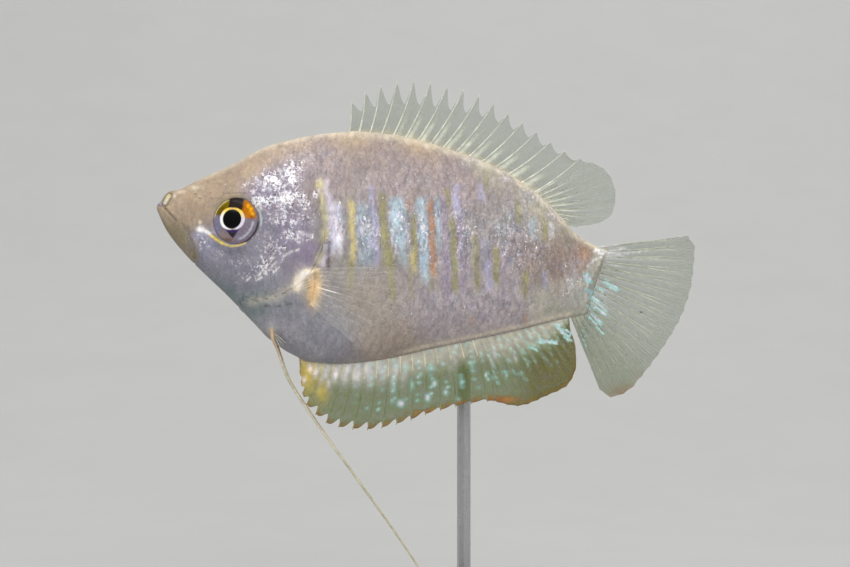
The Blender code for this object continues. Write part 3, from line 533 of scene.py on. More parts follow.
def around_cover(paint):
    """Colours along the gill cover's rim: a broken yellow band, the shadow behind it, the pale
    lower edge with painted shade of the gap below it in dashes, and the pectoral fin's cream fold,
    lightened as painted highlight and with painted glints, and its yellow root."""
    back, up = paint.back, paint.up
    shine = line_distance(back - 0.75 - 0.15 * np.sin(up * 3.0), up, RIM_BAND)
    paint.lay("lilac_white", 0.75 * bell(shine, 0.3))
    wavy = line_distance(back, up, RIM_BAND) + 0.14 * np.sin(up * 2.3) + 0.1 * np.sin(up * 5.1 + 1.0)
    broken = 0.5 + 0.5 * ease(np.sin(up * 2.9 + 0.6) + 0.5 * np.sin(up * 7.3) + 0.6)
    fading = 1 - 0.6 * ease((-3.4 - up) / 1.2)
    paint.lay("gold_rim", 0.85 * bell(wavy, 0.36) * broken * fading)
    shadow = line_distance(back, up, RIM_SHADOW) + 0.06 * np.sin(up * 5.0)
    paint.lay("dark", 0.85 * bell(shadow, 0.27), 1.3)
    thin = bell(line_distance(back + 0.4, up, RIM_BAND[1:]), 0.12)
    paint.lay("olive_band", 0.5 * thin * ease(np.sin(up * 4.1) + 0.4), 0.7)
    paint.lay("cream", 0.35 * paint.near(TROUGH_LINE, 0.55))
    # Painted shade of the gap under the cover's lower edge, broken into dashes.
    gap_shade = paint.near(((12.2, -11.6), (14.0, -11.7), (16.0, -11.3)), 0.13)
    paint.lay("dark", 0.6 * gap_shade * ease(np.sin(back * 5.0) + 0.6))
    paint.lay("cream", 0.55 * paint.spot(17.0, -8.9, 1.0, 1.3))
    paint.lay("pectoral", 1.5 * paint.spot(PECTORAL_LOBE[0] + 0.6, PECTORAL_LOBE[1] - 0.5, 0.66, 1.6))
    paint.lay("olive_band", 0.8 * paint.near(((17.35, -8.7), (17.65, -9.5)), 0.13), 0.35)
    # The pectoral fin's pale fold: its cream made lighter as painted highlight, with painted white glints
    # along it.
    hook = line_distance(back, up, PECTORAL_HOOK) / np.interp(back, (16.4, 18.2), (0.46, 0.2))
    paint.lay("cream", 1.7 * bell(hook, 1.0), 1.2)
    paint.lay("spark", 0.7 * bell(hook, 0.6) * ease(np.sin(up * 6.0) + 0.7))


def around_mouth(paint):
    """Colours of the lips: the pale oval of the upper lip between dark lines, its lavender tip,
    painted shade in the parting of the lips, in the slit at their corner and in a groove by the
    jaw, and painted highlights along the snout's top edge; and the nostrils, with painted shade
    in their pits and painted highlights on their upper rims."""
    paint.lay("violet_band", 0.75 * paint.spot(0.25, 0.02, 0.5, 0.2), 0.7)
    rise = ease((paint.up - 0.25) / 0.7)[..., None]
    lip = line_distance(paint.back, paint.up, LIP_LINE)
    paint.blend(paint.tone("lip_pale") * (1 - rise) + paint.tone("gold_rim", 0.9) * rise,
                0.95 * (1 - ease((lip - 0.15) / 0.12)))
    paint.lay("lip_line", 0.8 * bell(lip - 0.36, 0.09))
    # A pale spot on the lip, and painted highlights along the snout's top edge.
    paint.lay("cream", 0.8 * paint.patches(
        (2.05, 0.95, 0.22, 0.26, 1.0), (2.8, 1.45, 0.5, 0.22, 0.8), (4.4, 1.9, 0.8, 0.28, 0.8),
        (4.15, 2.05, 0.2, 0.15, 1.0)))
    paint.lay("smudge", 0.5 * paint.spot(2.42, 0.8, 0.18, 0.18))
    # Painted shade in the slit at the mouth's corner and in the parting of the lips.
    paint.lay("dark", 0.65 * paint.near(((1.42, -1.0), (1.72, -1.3), (2.25, -1.92)), 0.075))
    paint.lay("dark", 0.35 * paint.near(MOUTH_LINE, 0.07) * (paint.back < 1.2))
    paint.lay("dark", 0.4 * paint.spot(3.0, -0.67, 0.22, 0.1))
    # Painted shade in a groove by the front of the jaw line.
    paint.lay("dark", 0.35 * paint.near(((3.65, -2.6), (4.05, -3.3)), 0.13))
    paint.lay("jaw", 0.3 * paint.near(JAW_LINE, 0.25), 0.8)
    # Each nostril: painted shade in its pit and a painted highlight on its upper rim.
    for (x, z), radius in NOSTRILS:
        paint.lay("smudge", 0.6 * paint.spot(x, z, 1.1 * radius, 0.5 * radius), 0.8)
        paint.lay("cream", 0.4 * paint.spot(x, z + 1.3 * radius, 1.12 * radius, 0.7 * radius))


def zones(paint):
    """Broad zones of colour, which blend by their nearness."""
    total, colour = 1e-9, 0.0
    for name, x, z, reach in ZONES:
        weight = 1.0 / (0.05 + ((paint.back - x) ** 2 + (paint.up - z) ** 2) / reach**2) ** 2
        colour = colour + weight[..., None] * paint.tone(name)
        total = total + weight
    return colour / total[..., None]


def markings_and_painted_light(back, up, colours):
    """Colour of skin and scales alike: the zones, with the bands, the smudge before the tail, the
    seams of back and belly and the lines of the head laid over them; some of these layers are
    painted highlights, glints and shade."""
    paint = Paint(colours, "flank", back, up)
    paint.colour = zones(paint)
    top, bottom = smooth(BACK_LINE, back), smooth(BELLY_LINE, back)
    below_top, above_belly = top - up, up - bottom
    paint.lay("cream", bell(below_top, 0.5) * ease((back - 3.0) / 4.0)
              * (0.75 + 0.25 * ease((back - 43.0) / 2.0)))
    # Bead-like painted glints just below the back's top edge, along the dorsal fin's root.
    bead_glints = ease(1.1 * np.sin(back * 2.9) + 0.6 * np.sin(back * 5.3 + 1.0) - 0.1)
    paint.lay("cream", 0.9 * bead_glints * bell(below_top - 0.35, 0.3) * between(back, 20.0, 2.0, 44.0, 3.0))
    for band in BANDS:
        paint.lay(band[0], band_amount(back, up, *band))
    paint.lay("smudge", paint.patches(
        (46.0, -7.6, 1.2, 3.0, 0.6), (41.5, -5.6, 4.0, 1.1, 0.35), (47.6, -7.6, 1.2, 0.9, 0.5)))
    paint.lay("rust_band", 0.6 * paint.spot(48.9, -5.7, 0.9, 1.0))
    paint.lay("cream", 0.6 * bell(above_belly - 0.42, 0.26) * between(back, 26.0, 4.0, 47.0, 1.5))
    seam = bell(above_belly - 0.1, 0.1) * ease((back - 24.0) / 4.0)
    paint.lay("smudge", 0.4 * seam * ease(np.sin(back * 9.0) + 0.9))
    root = paint.near(((50.9, -6.3), (49.6, -7.9), (49.0, -9.6)), 0.1)
    paint.lay("dark", 0.6 * root * ease(np.sin(up * 6.0) + 0.7))
    beyond = back - ROOT_BACK(np.clip(above_belly / (top - bottom), 0, 1))
    broken = 0.75 + 0.25 * np.sin(up * 5.0) * np.sin(back * 7.0 + up)
    paint.lay("lip_pale", broken * ease((beyond + 0.1) / 0.9), 0.7)
    tail_gleams(paint)
    around_cover(paint)
    # The head's bright strokes: streaks of silvery skin whose white is painted highlight.
    paint.lay("spark", strokes(back, up, 0.12) * (
        0.72 + 0.25 * np.sin(9.0 * back) * np.sin(7.0 * up)))
    around_mouth(paint)
    around_eye(paint)
    return paint.lay("cream", 0.6 * paint.spot(*PELVIC_ROOT, 0.5, 0.5))


def grid_faces(rows, columns, wrap=False, start=0):
    """Corner numbers of the quads of a grid; wrap joins the last column to the first."""
    row = np.arange(rows - 1)[:, None] * columns
    column = np.arange(columns if wrap else columns - 1)[None, :]
    following = (column + 1) % columns
    quads = np.stack([row + column, row + following, row + columns + following,
                      row + columns + column], axis=-1)
    return quads.reshape(-1, 4) + start


def mesh_piece(name, points, quads, values=None, maps=None, extra=()):
    """One mesh object from whole arrays, with per-point attributes and per-corner maps."""
    mesh = bpy.data.meshes.new(name)
    points = np.asarray(points, np.float32).reshape(-1, 3)
    quads = np.asarray(quads, np.int32)
    extra = [np.asarray(face, np.int32) for face in extra]
    corners = np.concatenate([quads.reshape(-1), *extra]) if extra else quads.reshape(-1)
    sizes = np.concatenate([np.full(len(quads), 4), [len(face) for face in extra]]).astype(np.int32)
    mesh.vertices.add(len(points))
    mesh.vertices.foreach_set("co", points.reshape(-1))
    mesh.loops.add(len(corners))
    mesh.loops.foreach_set("vertex_index", corners.astype(np.int32))
    mesh.polygons.add(len(sizes))
    mesh.polygons.foreach_set("loop_start", np.concatenate([[0], np.cumsum(sizes)[:-1]]).astype(np.int32))
    mesh.update(calc_edges=True)
    for label, data in (values or {}).items():
        data = np.asarray(data, np.float32)
        if data.shape[-1] == 3 and data.ndim > 1 and data.size == points.size:
            layer = mesh.color_attributes.new(label, "FLOAT_COLOR", "POINT")
            flat = np.concatenate([data.reshape(-1, 3), np.ones((len(points), 1), np.float32)], axis=1)
            layer.data.foreach_set("color", flat.reshape(-1))
        else:
            layer = mesh.attributes.new(label, "FLOAT", "POINT")
            layer.data.foreach_set("value", data.reshape(-1))
    for label, places in (maps or {}).items():
        layer = mesh.uv_layers.new(name=label)
        flat = np.asarray(places, np.float32).reshape(-1, 2)[corners]
        layer.data.foreach_set("uv", flat.reshape(-1))
    mesh.polygons.foreach_set("use_smooth", np.full(len(sizes), True))
    mesh.validate()
    piece = bpy.data.objects.new(name, mesh)
    bpy.context.scene.collection.objects.link(piece)
    return piece


def grid_normals(points):
    """Unit normals of a grid of points, from the cross product of its two directions."""
    normal = np.cross(np.gradient(points, axis=0), np.gradient(points, axis=1))
    return normal / np.maximum(np.linalg.norm(normal, axis=-1, keepdims=True), 1e-12)


def closed_sheet(name, middle, normal, half, values):
    """A thin closed sheet: the middle grid moved half its thickness both ways, joined round its
    rim, with every quad split on the same diagonal on both faces."""
    rows, columns = middle.shape[:2]
    points = np.stack([middle + normal * half[..., None], middle - normal * half[..., None]])
    count = rows * columns
    front = grid_faces(rows, columns)
    back = grid_faces(rows, columns, start=count)[:, ::-1]
    rim = np.concatenate([
        np.arange(columns - 1), np.arange(columns - 1, count - 1, columns),
        np.arange(count - 1, count - columns, -1), np.arange(count - columns, 0, -columns)])
    ahead = np.roll(rim, -1)
    edge = np.stack([rim, rim + count, ahead + count, ahead], axis=1)
    both = {label: np.stack([data, data]) for label, data in values.items()}
    return mesh_piece(name, points, np.concatenate([front, back, edge]), both)


def tubes(name, paths, radii, values, sides=6):
    """Round tapering tubes: each path is a row of points, with a ring of points round each. The
    rings stand square to the path, and start from the direction across the fish."""
    paths = np.asarray(paths, float)
    count, steps = paths.shape[:2]
    run = np.gradient(paths, axis=1)
    run /= np.maximum(np.linalg.norm(run, axis=-1, keepdims=True), 1e-12)
    aside = np.cross(run, np.array([0.0, 1.0, 0.0]))
    aside /= np.maximum(np.linalg.norm(aside, axis=-1, keepdims=True), 1e-12)
    over = np.cross(aside, run)
    turn = np.arange(sides) / sides * 2 * np.pi
    ring = (aside[..., None, :] * np.cos(turn)[:, None] + over[..., None, :] * np.sin(turn)[:, None])
    points = paths[..., None, :] + ring * np.asarray(radii)[..., None, None]
    one = grid_faces(steps, sides, wrap=True)
    starts = np.arange(count) * steps * sides
    quads = (one[None] + starts[:, None, None]).reshape(-1, 4)
    caps = [np.arange(sides)[::-1] + s for s in starts]
    caps += [np.arange(sides) + s + (steps - 1) * sides for s in starts]
    spread = {label: np.repeat(data[:, :, None], sides, axis=2) for label, data in values.items()}
    return mesh_piece(name, points, quads, spread, extra=caps)


def turned_out(piece):
    """Turns a closed piece's faces outwards where its signed volume is negative."""
    mesh = piece.data
    mesh.calc_loop_triangles()
    places = np.empty(len(mesh.vertices) * 3, np.float32)
    mesh.vertices.foreach_get("co", places)
    corners = np.empty(len(mesh.loop_triangles) * 3, np.int32)
    mesh.loop_triangles.foreach_get("vertices", corners)
    triangles = places.reshape(-1, 3)[corners].reshape(-1, 3, 3).astype(float)
    if np.linalg.det(triangles).sum() < 0:
        mesh.flip_normals()
    return piece


# Materials

class Shading:
    """A Principled material with the given sockets, and short ways to add nodes to its tree."""

    def __init__(self, name, **values):
        self.material = bpy.data.materials.new(name)
        self.material.use_nodes = True
        self.tree = self.material.node_tree
        self.shader = self.tree.nodes["Principled BSDF"]
        labels = {"ior": "IOR", "specular": "Specular IOR Level"}
        for socket, value in values.items():
            self.feed(labels.get(socket) or socket.replace("_", " ").title(), value)
        self.where = self.node("TexCoord").outputs["Object"]

    def feed(self, label, value, node=None):
        """Links a socket, the shader's own unless a node is named, or sets its value."""
        socket = (node or self.shader).inputs[label]
        if isinstance(value, bpy.types.NodeSocket):
            self.tree.links.new(value, socket)
        else:
            socket.default_value = value

    def node(self, kind, inputs=None, **settings):
        node = self.tree.nodes.new("ShaderNode" + kind)
        for name, value in settings.items():
            setattr(node, name, value)
        for label, value in (inputs or {}).items():
            self.feed(label, value, node)
        return node

    def painted(self, name, output="Fac"):
        """What the mesh's points hold under a name."""
        return self.node("Attribute", attribute_name=name).outputs[output]

    def math(self, operation, first, second, clamp=False):
        return self.node("Math", {0: first, 1: second}, operation=operation, use_clamp=clamp).outputs[0]

    def plus(self, first, second, clamp=False):
        return self.math("ADD", first, second, clamp)

    def less(self, first, second):
        return self.math("SUBTRACT", first, second)

    def times(self, first, second, clamp=False):
        return self.math("MULTIPLY", first, second, clamp)

    def ramp(self, value, low, high, to_low=0.0, to_high=1.0):
        """A smooth step of the value between low and high."""
        inputs = {"Value": value, "From Min": low, "From Max": high, "To Min": to_low, "To Max": to_high}
        return self.node("MapRange", inputs, interpolation_type="SMOOTHSTEP").outputs[0]

    def grey(self, value, *span):
        """A grey colour that follows a ramp of the value."""
        grey = self.ramp(value, *span)
        return self.node("CombineColor", {0: grey, 1: grey, 2: grey}).outputs[0]

    def mix(self, amount, first, second, blend="MIX"):
        """Two colours blended; one that doesn't come from a node is three linear numbers."""
        first, second = (colour if isinstance(colour, bpy.types.NodeSocket) else (*colour, 1.0)
                         for colour in (first, second))
        inputs = {0: amount, 6: first, 7: second}
        return self.node("Mix", inputs, data_type="RGBA", blend_type=blend).outputs[2]

    def follow(self, value, stops):
        """Colours that follow the value, straight between the stops."""
        node = self.node("ValToRGB", {"Fac": value})
        elements = node.color_ramp.elements
        elements[0].position, elements[1].position = stops[0][0], stops[-1][0]
        for at, _ in stops[1:-1]:
            elements.new(at)
        for element, (_, colour) in zip(elements, stops):
            element.color = (*linear(colour), 1.0)
        return node.outputs["Color"]

    def stretched(self, *scale):
        """The place in the model, times a scale along each axis."""
        return self.node("Mapping", {"Vector": self.where, "Scale": scale}).outputs[0]

    def noise(self, where, size, detail=3.0, roughness=0.6, distortion=0.0):
        """Noise whose features are about the given size in metres."""
        inputs = {"Vector": where, "Scale": 1.0 / size, "Detail": detail, "Roughness": roughness,
                  "Distortion": distortion}
        return self.node("TexNoise", inputs).outputs["Fac"]

    def sparks(self, where, size, level):
        """Small ragged spots where a fine noise peaks over the level."""
        peak = self.noise(where, size, 3.0, 0.7, 0.4)
        return self.ramp(self.less(peak, level), 0.0, 0.03)

    def bump(self, height, distance, strength):
        inputs = {"Height": height, "Distance": distance, "Strength": strength}
        self.feed("Normal", self.node("Bump", inputs).outputs[0])


def flesh_material(name, colours, scaly):
    """Pearly skin: its markings and painted light under fine upright strands and flecks of lilac,
    blue and cream, with small painted glints where Pearl is high, and broken silver with painted
    highlights and dark gaps where Glitter is."""
    mat = Shading(name, ior=1.36, specular=0.4, coat_weight=0.08, coat_roughness=0.35)
    base = mat.painted("MarkingsAndPaintedLight", "Color")
    silver, pearl = mat.painted("Glitter"), mat.painted("Pearl")
    upright = mat.stretched(1.0, 1.0, 0.34)
    strand = mat.noise(upright, 0.42 * MM, 4.0, 0.64, 0.4)
    hue = mat.noise(upright, 0.62 * MM, 3.0, 0.6, 0.6)
    blotch = mat.noise(mat.stretched(1.0, 1.0, 0.7), 1.5 * MM, 4.0, 0.62, 0.8)
    grain = mat.noise(mat.where, 0.3 * MM, 3.0, 0.65)
    fleck = mat.follow(hue, ((0.36, colours.aqua), (0.45, colours.violet_band), (0.52, colours.lilac_white),
                             (0.58, colours.rose), (0.66, colours.aqua)))
    amount = mat.plus(mat.times(pearl, 0.36), 0.05)
    shade = mat.mix(mat.times(amount, mat.ramp(grain, 0.35, 0.65, 0.4, 1.6)), base, fleck)
    rough = mat.math("MAXIMUM", pearl, silver)
    warm = mat.mix(mat.ramp(blotch, 0.36, 0.64), (0.8, 0.78, 0.85), (1.18, 1.14, 1.12))
    shade = mat.mix(mat.plus(mat.times(rough, 0.4), 0.45), shade, warm, "MULTIPLY")
    strand = mat.grey(strand, 0.32, 0.68, 0.66, 1.32)
    shade = mat.mix(mat.plus(rough, 0.22, True), shade, strand, "MULTIPLY")
    shade = mat.mix(0.35, shade, mat.grey(grain, 0.3, 0.7, 0.78, 1.2), "MULTIPLY")

    # Where Glitter is high: the skin's silver tint, and over it painted highlights as pale foil blotches,
    # bright chips and white glints, with dark pepper in the gaps.
    flake = mat.noise(mat.where, 0.42 * MM, 6.0, 0.76, 0.3)
    chance = mat.times(silver, 0.21)
    over = mat.less(flake, mat.less(0.62, chance))
    open_ = mat.ramp(silver, 0.05, 0.2)
    chip = mat.times(mat.ramp(over, 0.0, 0.03), open_)
    hot_glint = mat.times(mat.ramp(over, 0.07, 0.11), open_)
    shade = mat.mix(mat.times(silver, 0.4), shade, linear(colours.lilac_white) * 0.7)
    foil_highlight = mat.ramp(mat.noise(mat.where, 0.9 * MM, 5.0, 0.66, 1.2), 0.54, 0.66, 0.0, 0.6)
    shade = mat.mix(mat.times(foil_highlight, mat.ramp(silver, 0.05, 0.4)), shade, linear(colours.lilac_white))
    tint = mat.mix(mat.ramp(hue, 0.42, 0.58), linear(colours.pale_band), linear(colours.glitter))
    shade = mat.mix(mat.times(chip, 0.85), shade, tint)
    shade = mat.mix(mat.times(hot_glint, 0.92), shade, linear(colours.spark))
    pepper = mat.ramp(mat.noise(mat.where, 0.3 * MM, 4.0, 0.72), 0.54, 0.59)
    pepper = mat.times(pepper, mat.ramp(silver, 0.12, 0.6, 0.0, 0.85))
    shade = mat.mix(pepper, shade, linear(colours.dark) * 1.3)

    # Painted glints: small white, pale blue and lilac sparks, thicker where Pearl is high; then dark
    # specks.
    level = mat.less(0.7, mat.times(pearl, 0.145))
    lit = mat.sparks(mat.stretched(1.0, 1.0, 0.75), 0.3 * MM, level)
    tint = mat.follow(hue, ((0.4, colours.pale_aqua), (0.46, colours.spark), (0.52, colours.lilac_white),
                            (0.6, colours.spark)))
    shade = mat.mix(lit, shade, tint)
    dark = mat.sparks(mat.stretched(1.1, 1.1, 0.9), 0.29 * MM, 0.66)
    shade = mat.mix(mat.times(dark, mat.ramp(pearl, 0.1, 0.7, 0.12, 0.55)), shade, linear(colours.dark))
    height = mat.plus(mat.times(grain, 0.5), mat.times(flake, 0.4))
    if scaly:
        own = mat.node("UVMap", uv_map="Scale").outputs[0]
        rim = mat.ramp(mat.node("SeparateXYZ", {"Vector": own}).outputs[0], 0.8, 0.98)
        shade = mat.mix(mat.times(rim, 0.07), shade, linear(colours.scale_edge))
        ribs = mat.node("TexWave", {"Vector": own, "Scale": 3.2, "Distortion": 0.6},
                        bands_direction="Y").outputs["Fac"]
        height = mat.plus(height, mat.times(ribs, 0.2))
    mat.feed("Base Color", shade)
    bright = mat.plus(chip, lit, True)
    mat.feed("Roughness", mat.less(0.55, mat.times(bright, 0.2)))
    mat.feed("Metallic", mat.plus(mat.times(bright, 0.15), 0.05))
    mat.bump(height, 0.025 * MM, 0.7)
    return mat.material


def fin_material(name, roughness=0.3):
    """Clear fin skin: its own colour and opacity, clouded by fine noise."""
    mat = Shading(name, roughness=roughness, ior=1.36, coat_weight=0.25, coat_roughness=0.15)
    base, opacity = mat.painted("MarkingsAndPaintedLight", "Color"), mat.painted("Opacity")
    cloud = mat.noise(mat.where, 0.9 * MM, 4.0, 0.65)
    grain = mat.noise(mat.where, 0.2 * MM, 2.0)
    mat.feed("Base Color", mat.mix(0.5, base, mat.grey(cloud, 0.3, 0.7, 0.7, 1.3), "MULTIPLY"))
    mat.feed("Alpha", mat.times(opacity, mat.ramp(cloud, 0.25, 0.75, 0.82, 1.12), True))
    mat.bump(mat.plus(cloud, grain), 0.015 * MM, 0.6)
    return mat.material


def eye_material():
    """Wet eye: the painted iris under a clear coat, with fine streaks of metal in it."""
    mat = Shading("wet_eye", roughness=0.5, specular=0.05, coat_weight=0.08, coat_roughness=0.05)
    base, iris = mat.painted("MarkingsAndPaintedLight", "Color"), mat.painted("Iris")
    fleck = mat.noise(mat.where, 0.18 * MM, 4.0, 0.7, 0.6)
    mat.feed("Base Color", mat.mix(mat.times(iris, 0.6), base, mat.grey(fleck, 0.3, 0.7, 0.6, 1.4),
                                   "MULTIPLY"))
    mat.bump(mat.times(fleck, iris), 0.01 * MM, 0.4)
    return mat.material


def wood_material(colours):
    """Dark stained wood: long warped growth bands with fine pores along the grain."""
    mat = Shading("stained_wood", roughness=0.4, coat_weight=0.3, coat_roughness=0.2)
    inputs = {"Vector": mat.stretched(1.0, 7.0, 7.0), "Scale": 38.0, "Distortion": 5.0, "Detail": 3.0,
              "Detail Scale": 1.4}
    growth = mat.node("TexWave", inputs, bands_direction="Y").outputs["Fac"]
    pores = mat.noise(mat.stretched(1.0, 14.0, 14.0), 4.0 * MM, 3.0, 0.7)
    shade = mat.mix(growth, linear(colours.wood), linear(colours.wood_light))
    mat.feed("Base Color", mat.mix(0.6, shade, mat.grey(pores, 0.35, 0.65, 0.55, 1.2), "MULTIPLY"))
    mat.feed("Roughness", mat.ramp(pores, 0.3, 0.7, 0.5, 0.32))
    mat.bump(pores, 0.06 * MM, 0.4)
    return mat.material


def steel_material(colours):
    """Brushed steel: fine scratches that run along the rod."""
    mat = Shading("brushed_steel", roughness=0.28, metallic=1.0)
    scratch = mat.noise(mat.stretched(12.0, 12.0, 1.0), 2.0 * MM, 4.0, 0.7)
    mat.feed("Base Color", mat.mix(scratch, linear(colours.steel) * 0.8, linear(colours.steel)))
    mat.feed("Roughness", mat.ramp(scratch, 0.3, 0.7, 0.22, 0.4))
    mat.bump(scratch, 0.02 * MM, 0.3)
    return mat.material


def dress(piece, material, replaced=()):
    """Gives a finished piece its material and body, and hides the solids it stands for."""
    piece.data.materials.clear()
    piece.data.materials.append(material)
    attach(piece, BODY)
    if replaced:
        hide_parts(*replaced)
    return piece


# Skin and scales

RING = 288
HEAD_STATIONS, TRUNK_STATIONS, CAP_STATIONS = 150, 120, 10
RIM_STEPS = (-0.34, -0.24, -0.16, -0.1, -0.05, 0.0, 0.02, 0.06, 0.12, 0.2, 0.32, 0.5)
CAP_LENGTH = 1.7
SKIN_SINK = 0.06


def skin_stations(share):
    """Back of every station at every share up the side: scaled copies of the gill rim's curve in
    the head, then a blend from that curve to the tail root's, then a short run on to the fin."""
    rim, root = RIM_BACK(share), ROOT_BACK(share)
    head = (np.arange(HEAD_STATIONS) / HEAD_STATIONS) ** 1.2
    first = head[:, None] * (rim + RIM_STEPS[0])[None]
    steps = rim[None] + np.array(RIM_STEPS)[:, None]
    blend = (np.arange(1, TRUNK_STATIONS + 1) / TRUNK_STATIONS)[:, None]
    trunk = (rim + RIM_STEPS[-1]) * (1 - blend) + root * blend
    cap = root + CAP_LENGTH * (np.arange(1, CAP_STATIONS + 1) / CAP_STATIONS)[:, None]
    return np.vstack([first, steps, trunk, cap])


def build_skin(sizes, colours):
    turn = np.arange(RING) / RING * 2 * np.pi
    share = (1 - np.cos(turn)) / 2
    side = np.where(turn <= np.pi, -1.0, 1.0)
    back = skin_stations(share)
    top, bottom = smooth(BACK_LINE, back), smooth(BELLY_LINE, back)
    up = bottom + share * (top - bottom)
    offset = np.concatenate([
        np.full(HEAD_STATIONS, 0.0)[:, None] + back[:HEAD_STATIONS] - RIM_BACK(share),
        np.repeat(np.array(RIM_STEPS)[:, None], RING, axis=1),
        back[HEAD_STATIONS + len(RIM_STEPS):] - RIM_BACK(share)])
    beyond = np.clip((back - ROOT_BACK(share)) / CAP_LENGTH, 0, 1)
    across = half_width(back, up) * np.sqrt(1 - 0.97 * beyond**1.5)
    across = across + gill_rise(back, up, offset, sizes.gill_raise) * (1 - abs(2 * share - 1) ** 6)
    plain = place(back, side * across, up)
    normal = grid_normals(plain)
    flip = np.sign((normal[..., 1] * side).sum())
    lift = relief(back, up, offset, sizes) - SKIN_SINK
    points = plain + normal * flip * lift[..., None] * MM
    snout = points[0].mean(axis=0) - np.array([0.12 * MM, 0, 0])
    end = points[-1].mean(axis=0)
    flat = np.concatenate([points.reshape(-1, 3), snout[None], end[None]])
    stations = len(back)
    count = stations * RING
    ring = np.arange(RING)
    ahead = (ring + 1) % RING
    fans = [*np.stack([ahead, ring, np.full(RING, count)], axis=1),
            *np.stack([ring, ahead, np.full(RING, count + 1)], axis=1) + np.array(
                [count - RING, count - RING, 0])]
    painted = {"MarkingsAndPaintedLight": markings_and_painted_light(back, up, colours), "Glitter": patches(back, up, GLITTER),
               "Pearl": pearl(back, up)}
    painted = {label: data.reshape(count, -1) for label, data in painted.items()}
    painted = {label: np.concatenate([data, data[:1], data[-1:]]) for label, data in painted.items()}
    piece = mesh_piece("skin", flat, grid_faces(stations, RING, wrap=True), painted, extra=fans)
    turned_out(piece)
    dress(piece, flesh_material("pearly_skin", colours, False),
          ("head", "lower_jaw", "gill_cover_left", "gill_cover_right", "trunk", "tail_stalk"))


SCALE_SIZE = ((5.0, 0.5), (11.0, 0.6), (15.5, 0.7), (19.5, 1.0), (38.0, 0.92), (50.0, 0.62),
              (54.0, 0.5))
SCALE_AXIS = ((0.0, 0.6), (19.0, 0.6), (48.0, 0.5), (54.0, 0.5))
SCALE_ROWS = 16
ROOTS, WIDTHS = 9, 12


def side_table(raised, sizes):
    """The left side as a table over back and the share of the way up along the skin, with the
    length of that way. Raised adds the gill cover's swelling."""
    back = np.linspace(2.0, 53.0, 340)
    turn = np.linspace(0, np.pi, 241)
    share = (1 - np.cos(turn)) / 2
    top, bottom = smooth(BACK_LINE, back)[:, None], smooth(BELLY_LINE, back)[:, None]
    up = bottom + share * (top - bottom)
    grid = np.broadcast_to(back[:, None], up.shape)
    across = half_width(grid, up)
    if raised:
        across = across + gill_rise(grid, up, np.minimum(behind_rim(grid, up), 0), sizes.gill_raise)
    run = np.cumsum(np.hypot(np.diff(across, axis=1), np.diff(up, axis=1)), axis=1)
    run = np.concatenate([np.zeros((len(back), 1)), run], axis=1)
    even = np.linspace(0, 1, 241)
    across = np.stack([np.interp(even, r / r[-1], a) for r, a in zip(run, across)])
    up = np.stack([np.interp(even, r / r[-1], u) for r, u in zip(run, up)])
    return back, run[:, -1], across, up


def look_up(table, back, share):
    """Across and up on the side table, straight between its entries."""
    backs, _, across, up = table
    i = np.clip((back - backs[0]) / (backs[1] - backs[0]), 0, len(backs) - 1.001)
    j = np.clip(share, 0, 1) * (across.shape[1] - 1.001)
    row, column = i.astype(int), j.astype(int)
    fi, fj = i - row, j - column
    found = []
    for data in (across, up):
        found.append((data[row, column] * (1 - fj) + data[row, column + 1] * fj) * (1 - fi)
                     + (data[row + 1, column] * (1 - fj) + data[row + 1, column + 1] * fj) * fi)
    return found


def scale_places(sizes, first, last):
    """Back and row of every scale between two places: columns spaced by the scale's size there,
    with every other row set half a scale back."""
    at = np.linspace(first, last, 800)
    pitch = sizes.scale_pitch / MM * smooth(SCALE_SIZE, at)
    columns = np.concatenate([[0.0], np.cumsum(np.diff(at) / pitch[1:])])
    rows = np.arange(-SCALE_ROWS, SCALE_ROWS + 1)
    column, row = np.meshgrid(np.arange(int(columns[-1])), rows)
    back = np.interp(column + 0.5 * (row % 2), columns, at)
    return back.ravel(), row.ravel().astype(float)


def scale_share(table, back, row, sizes):
    """Share of the way up the side of a row at a back: rows run along the body's axis."""
    length = np.interp(back, table[0], table[1])
    height = sizes.scale_height / MM * smooth(SCALE_SIZE, back)
    return smooth(SCALE_AXIS, back) + row * height / length


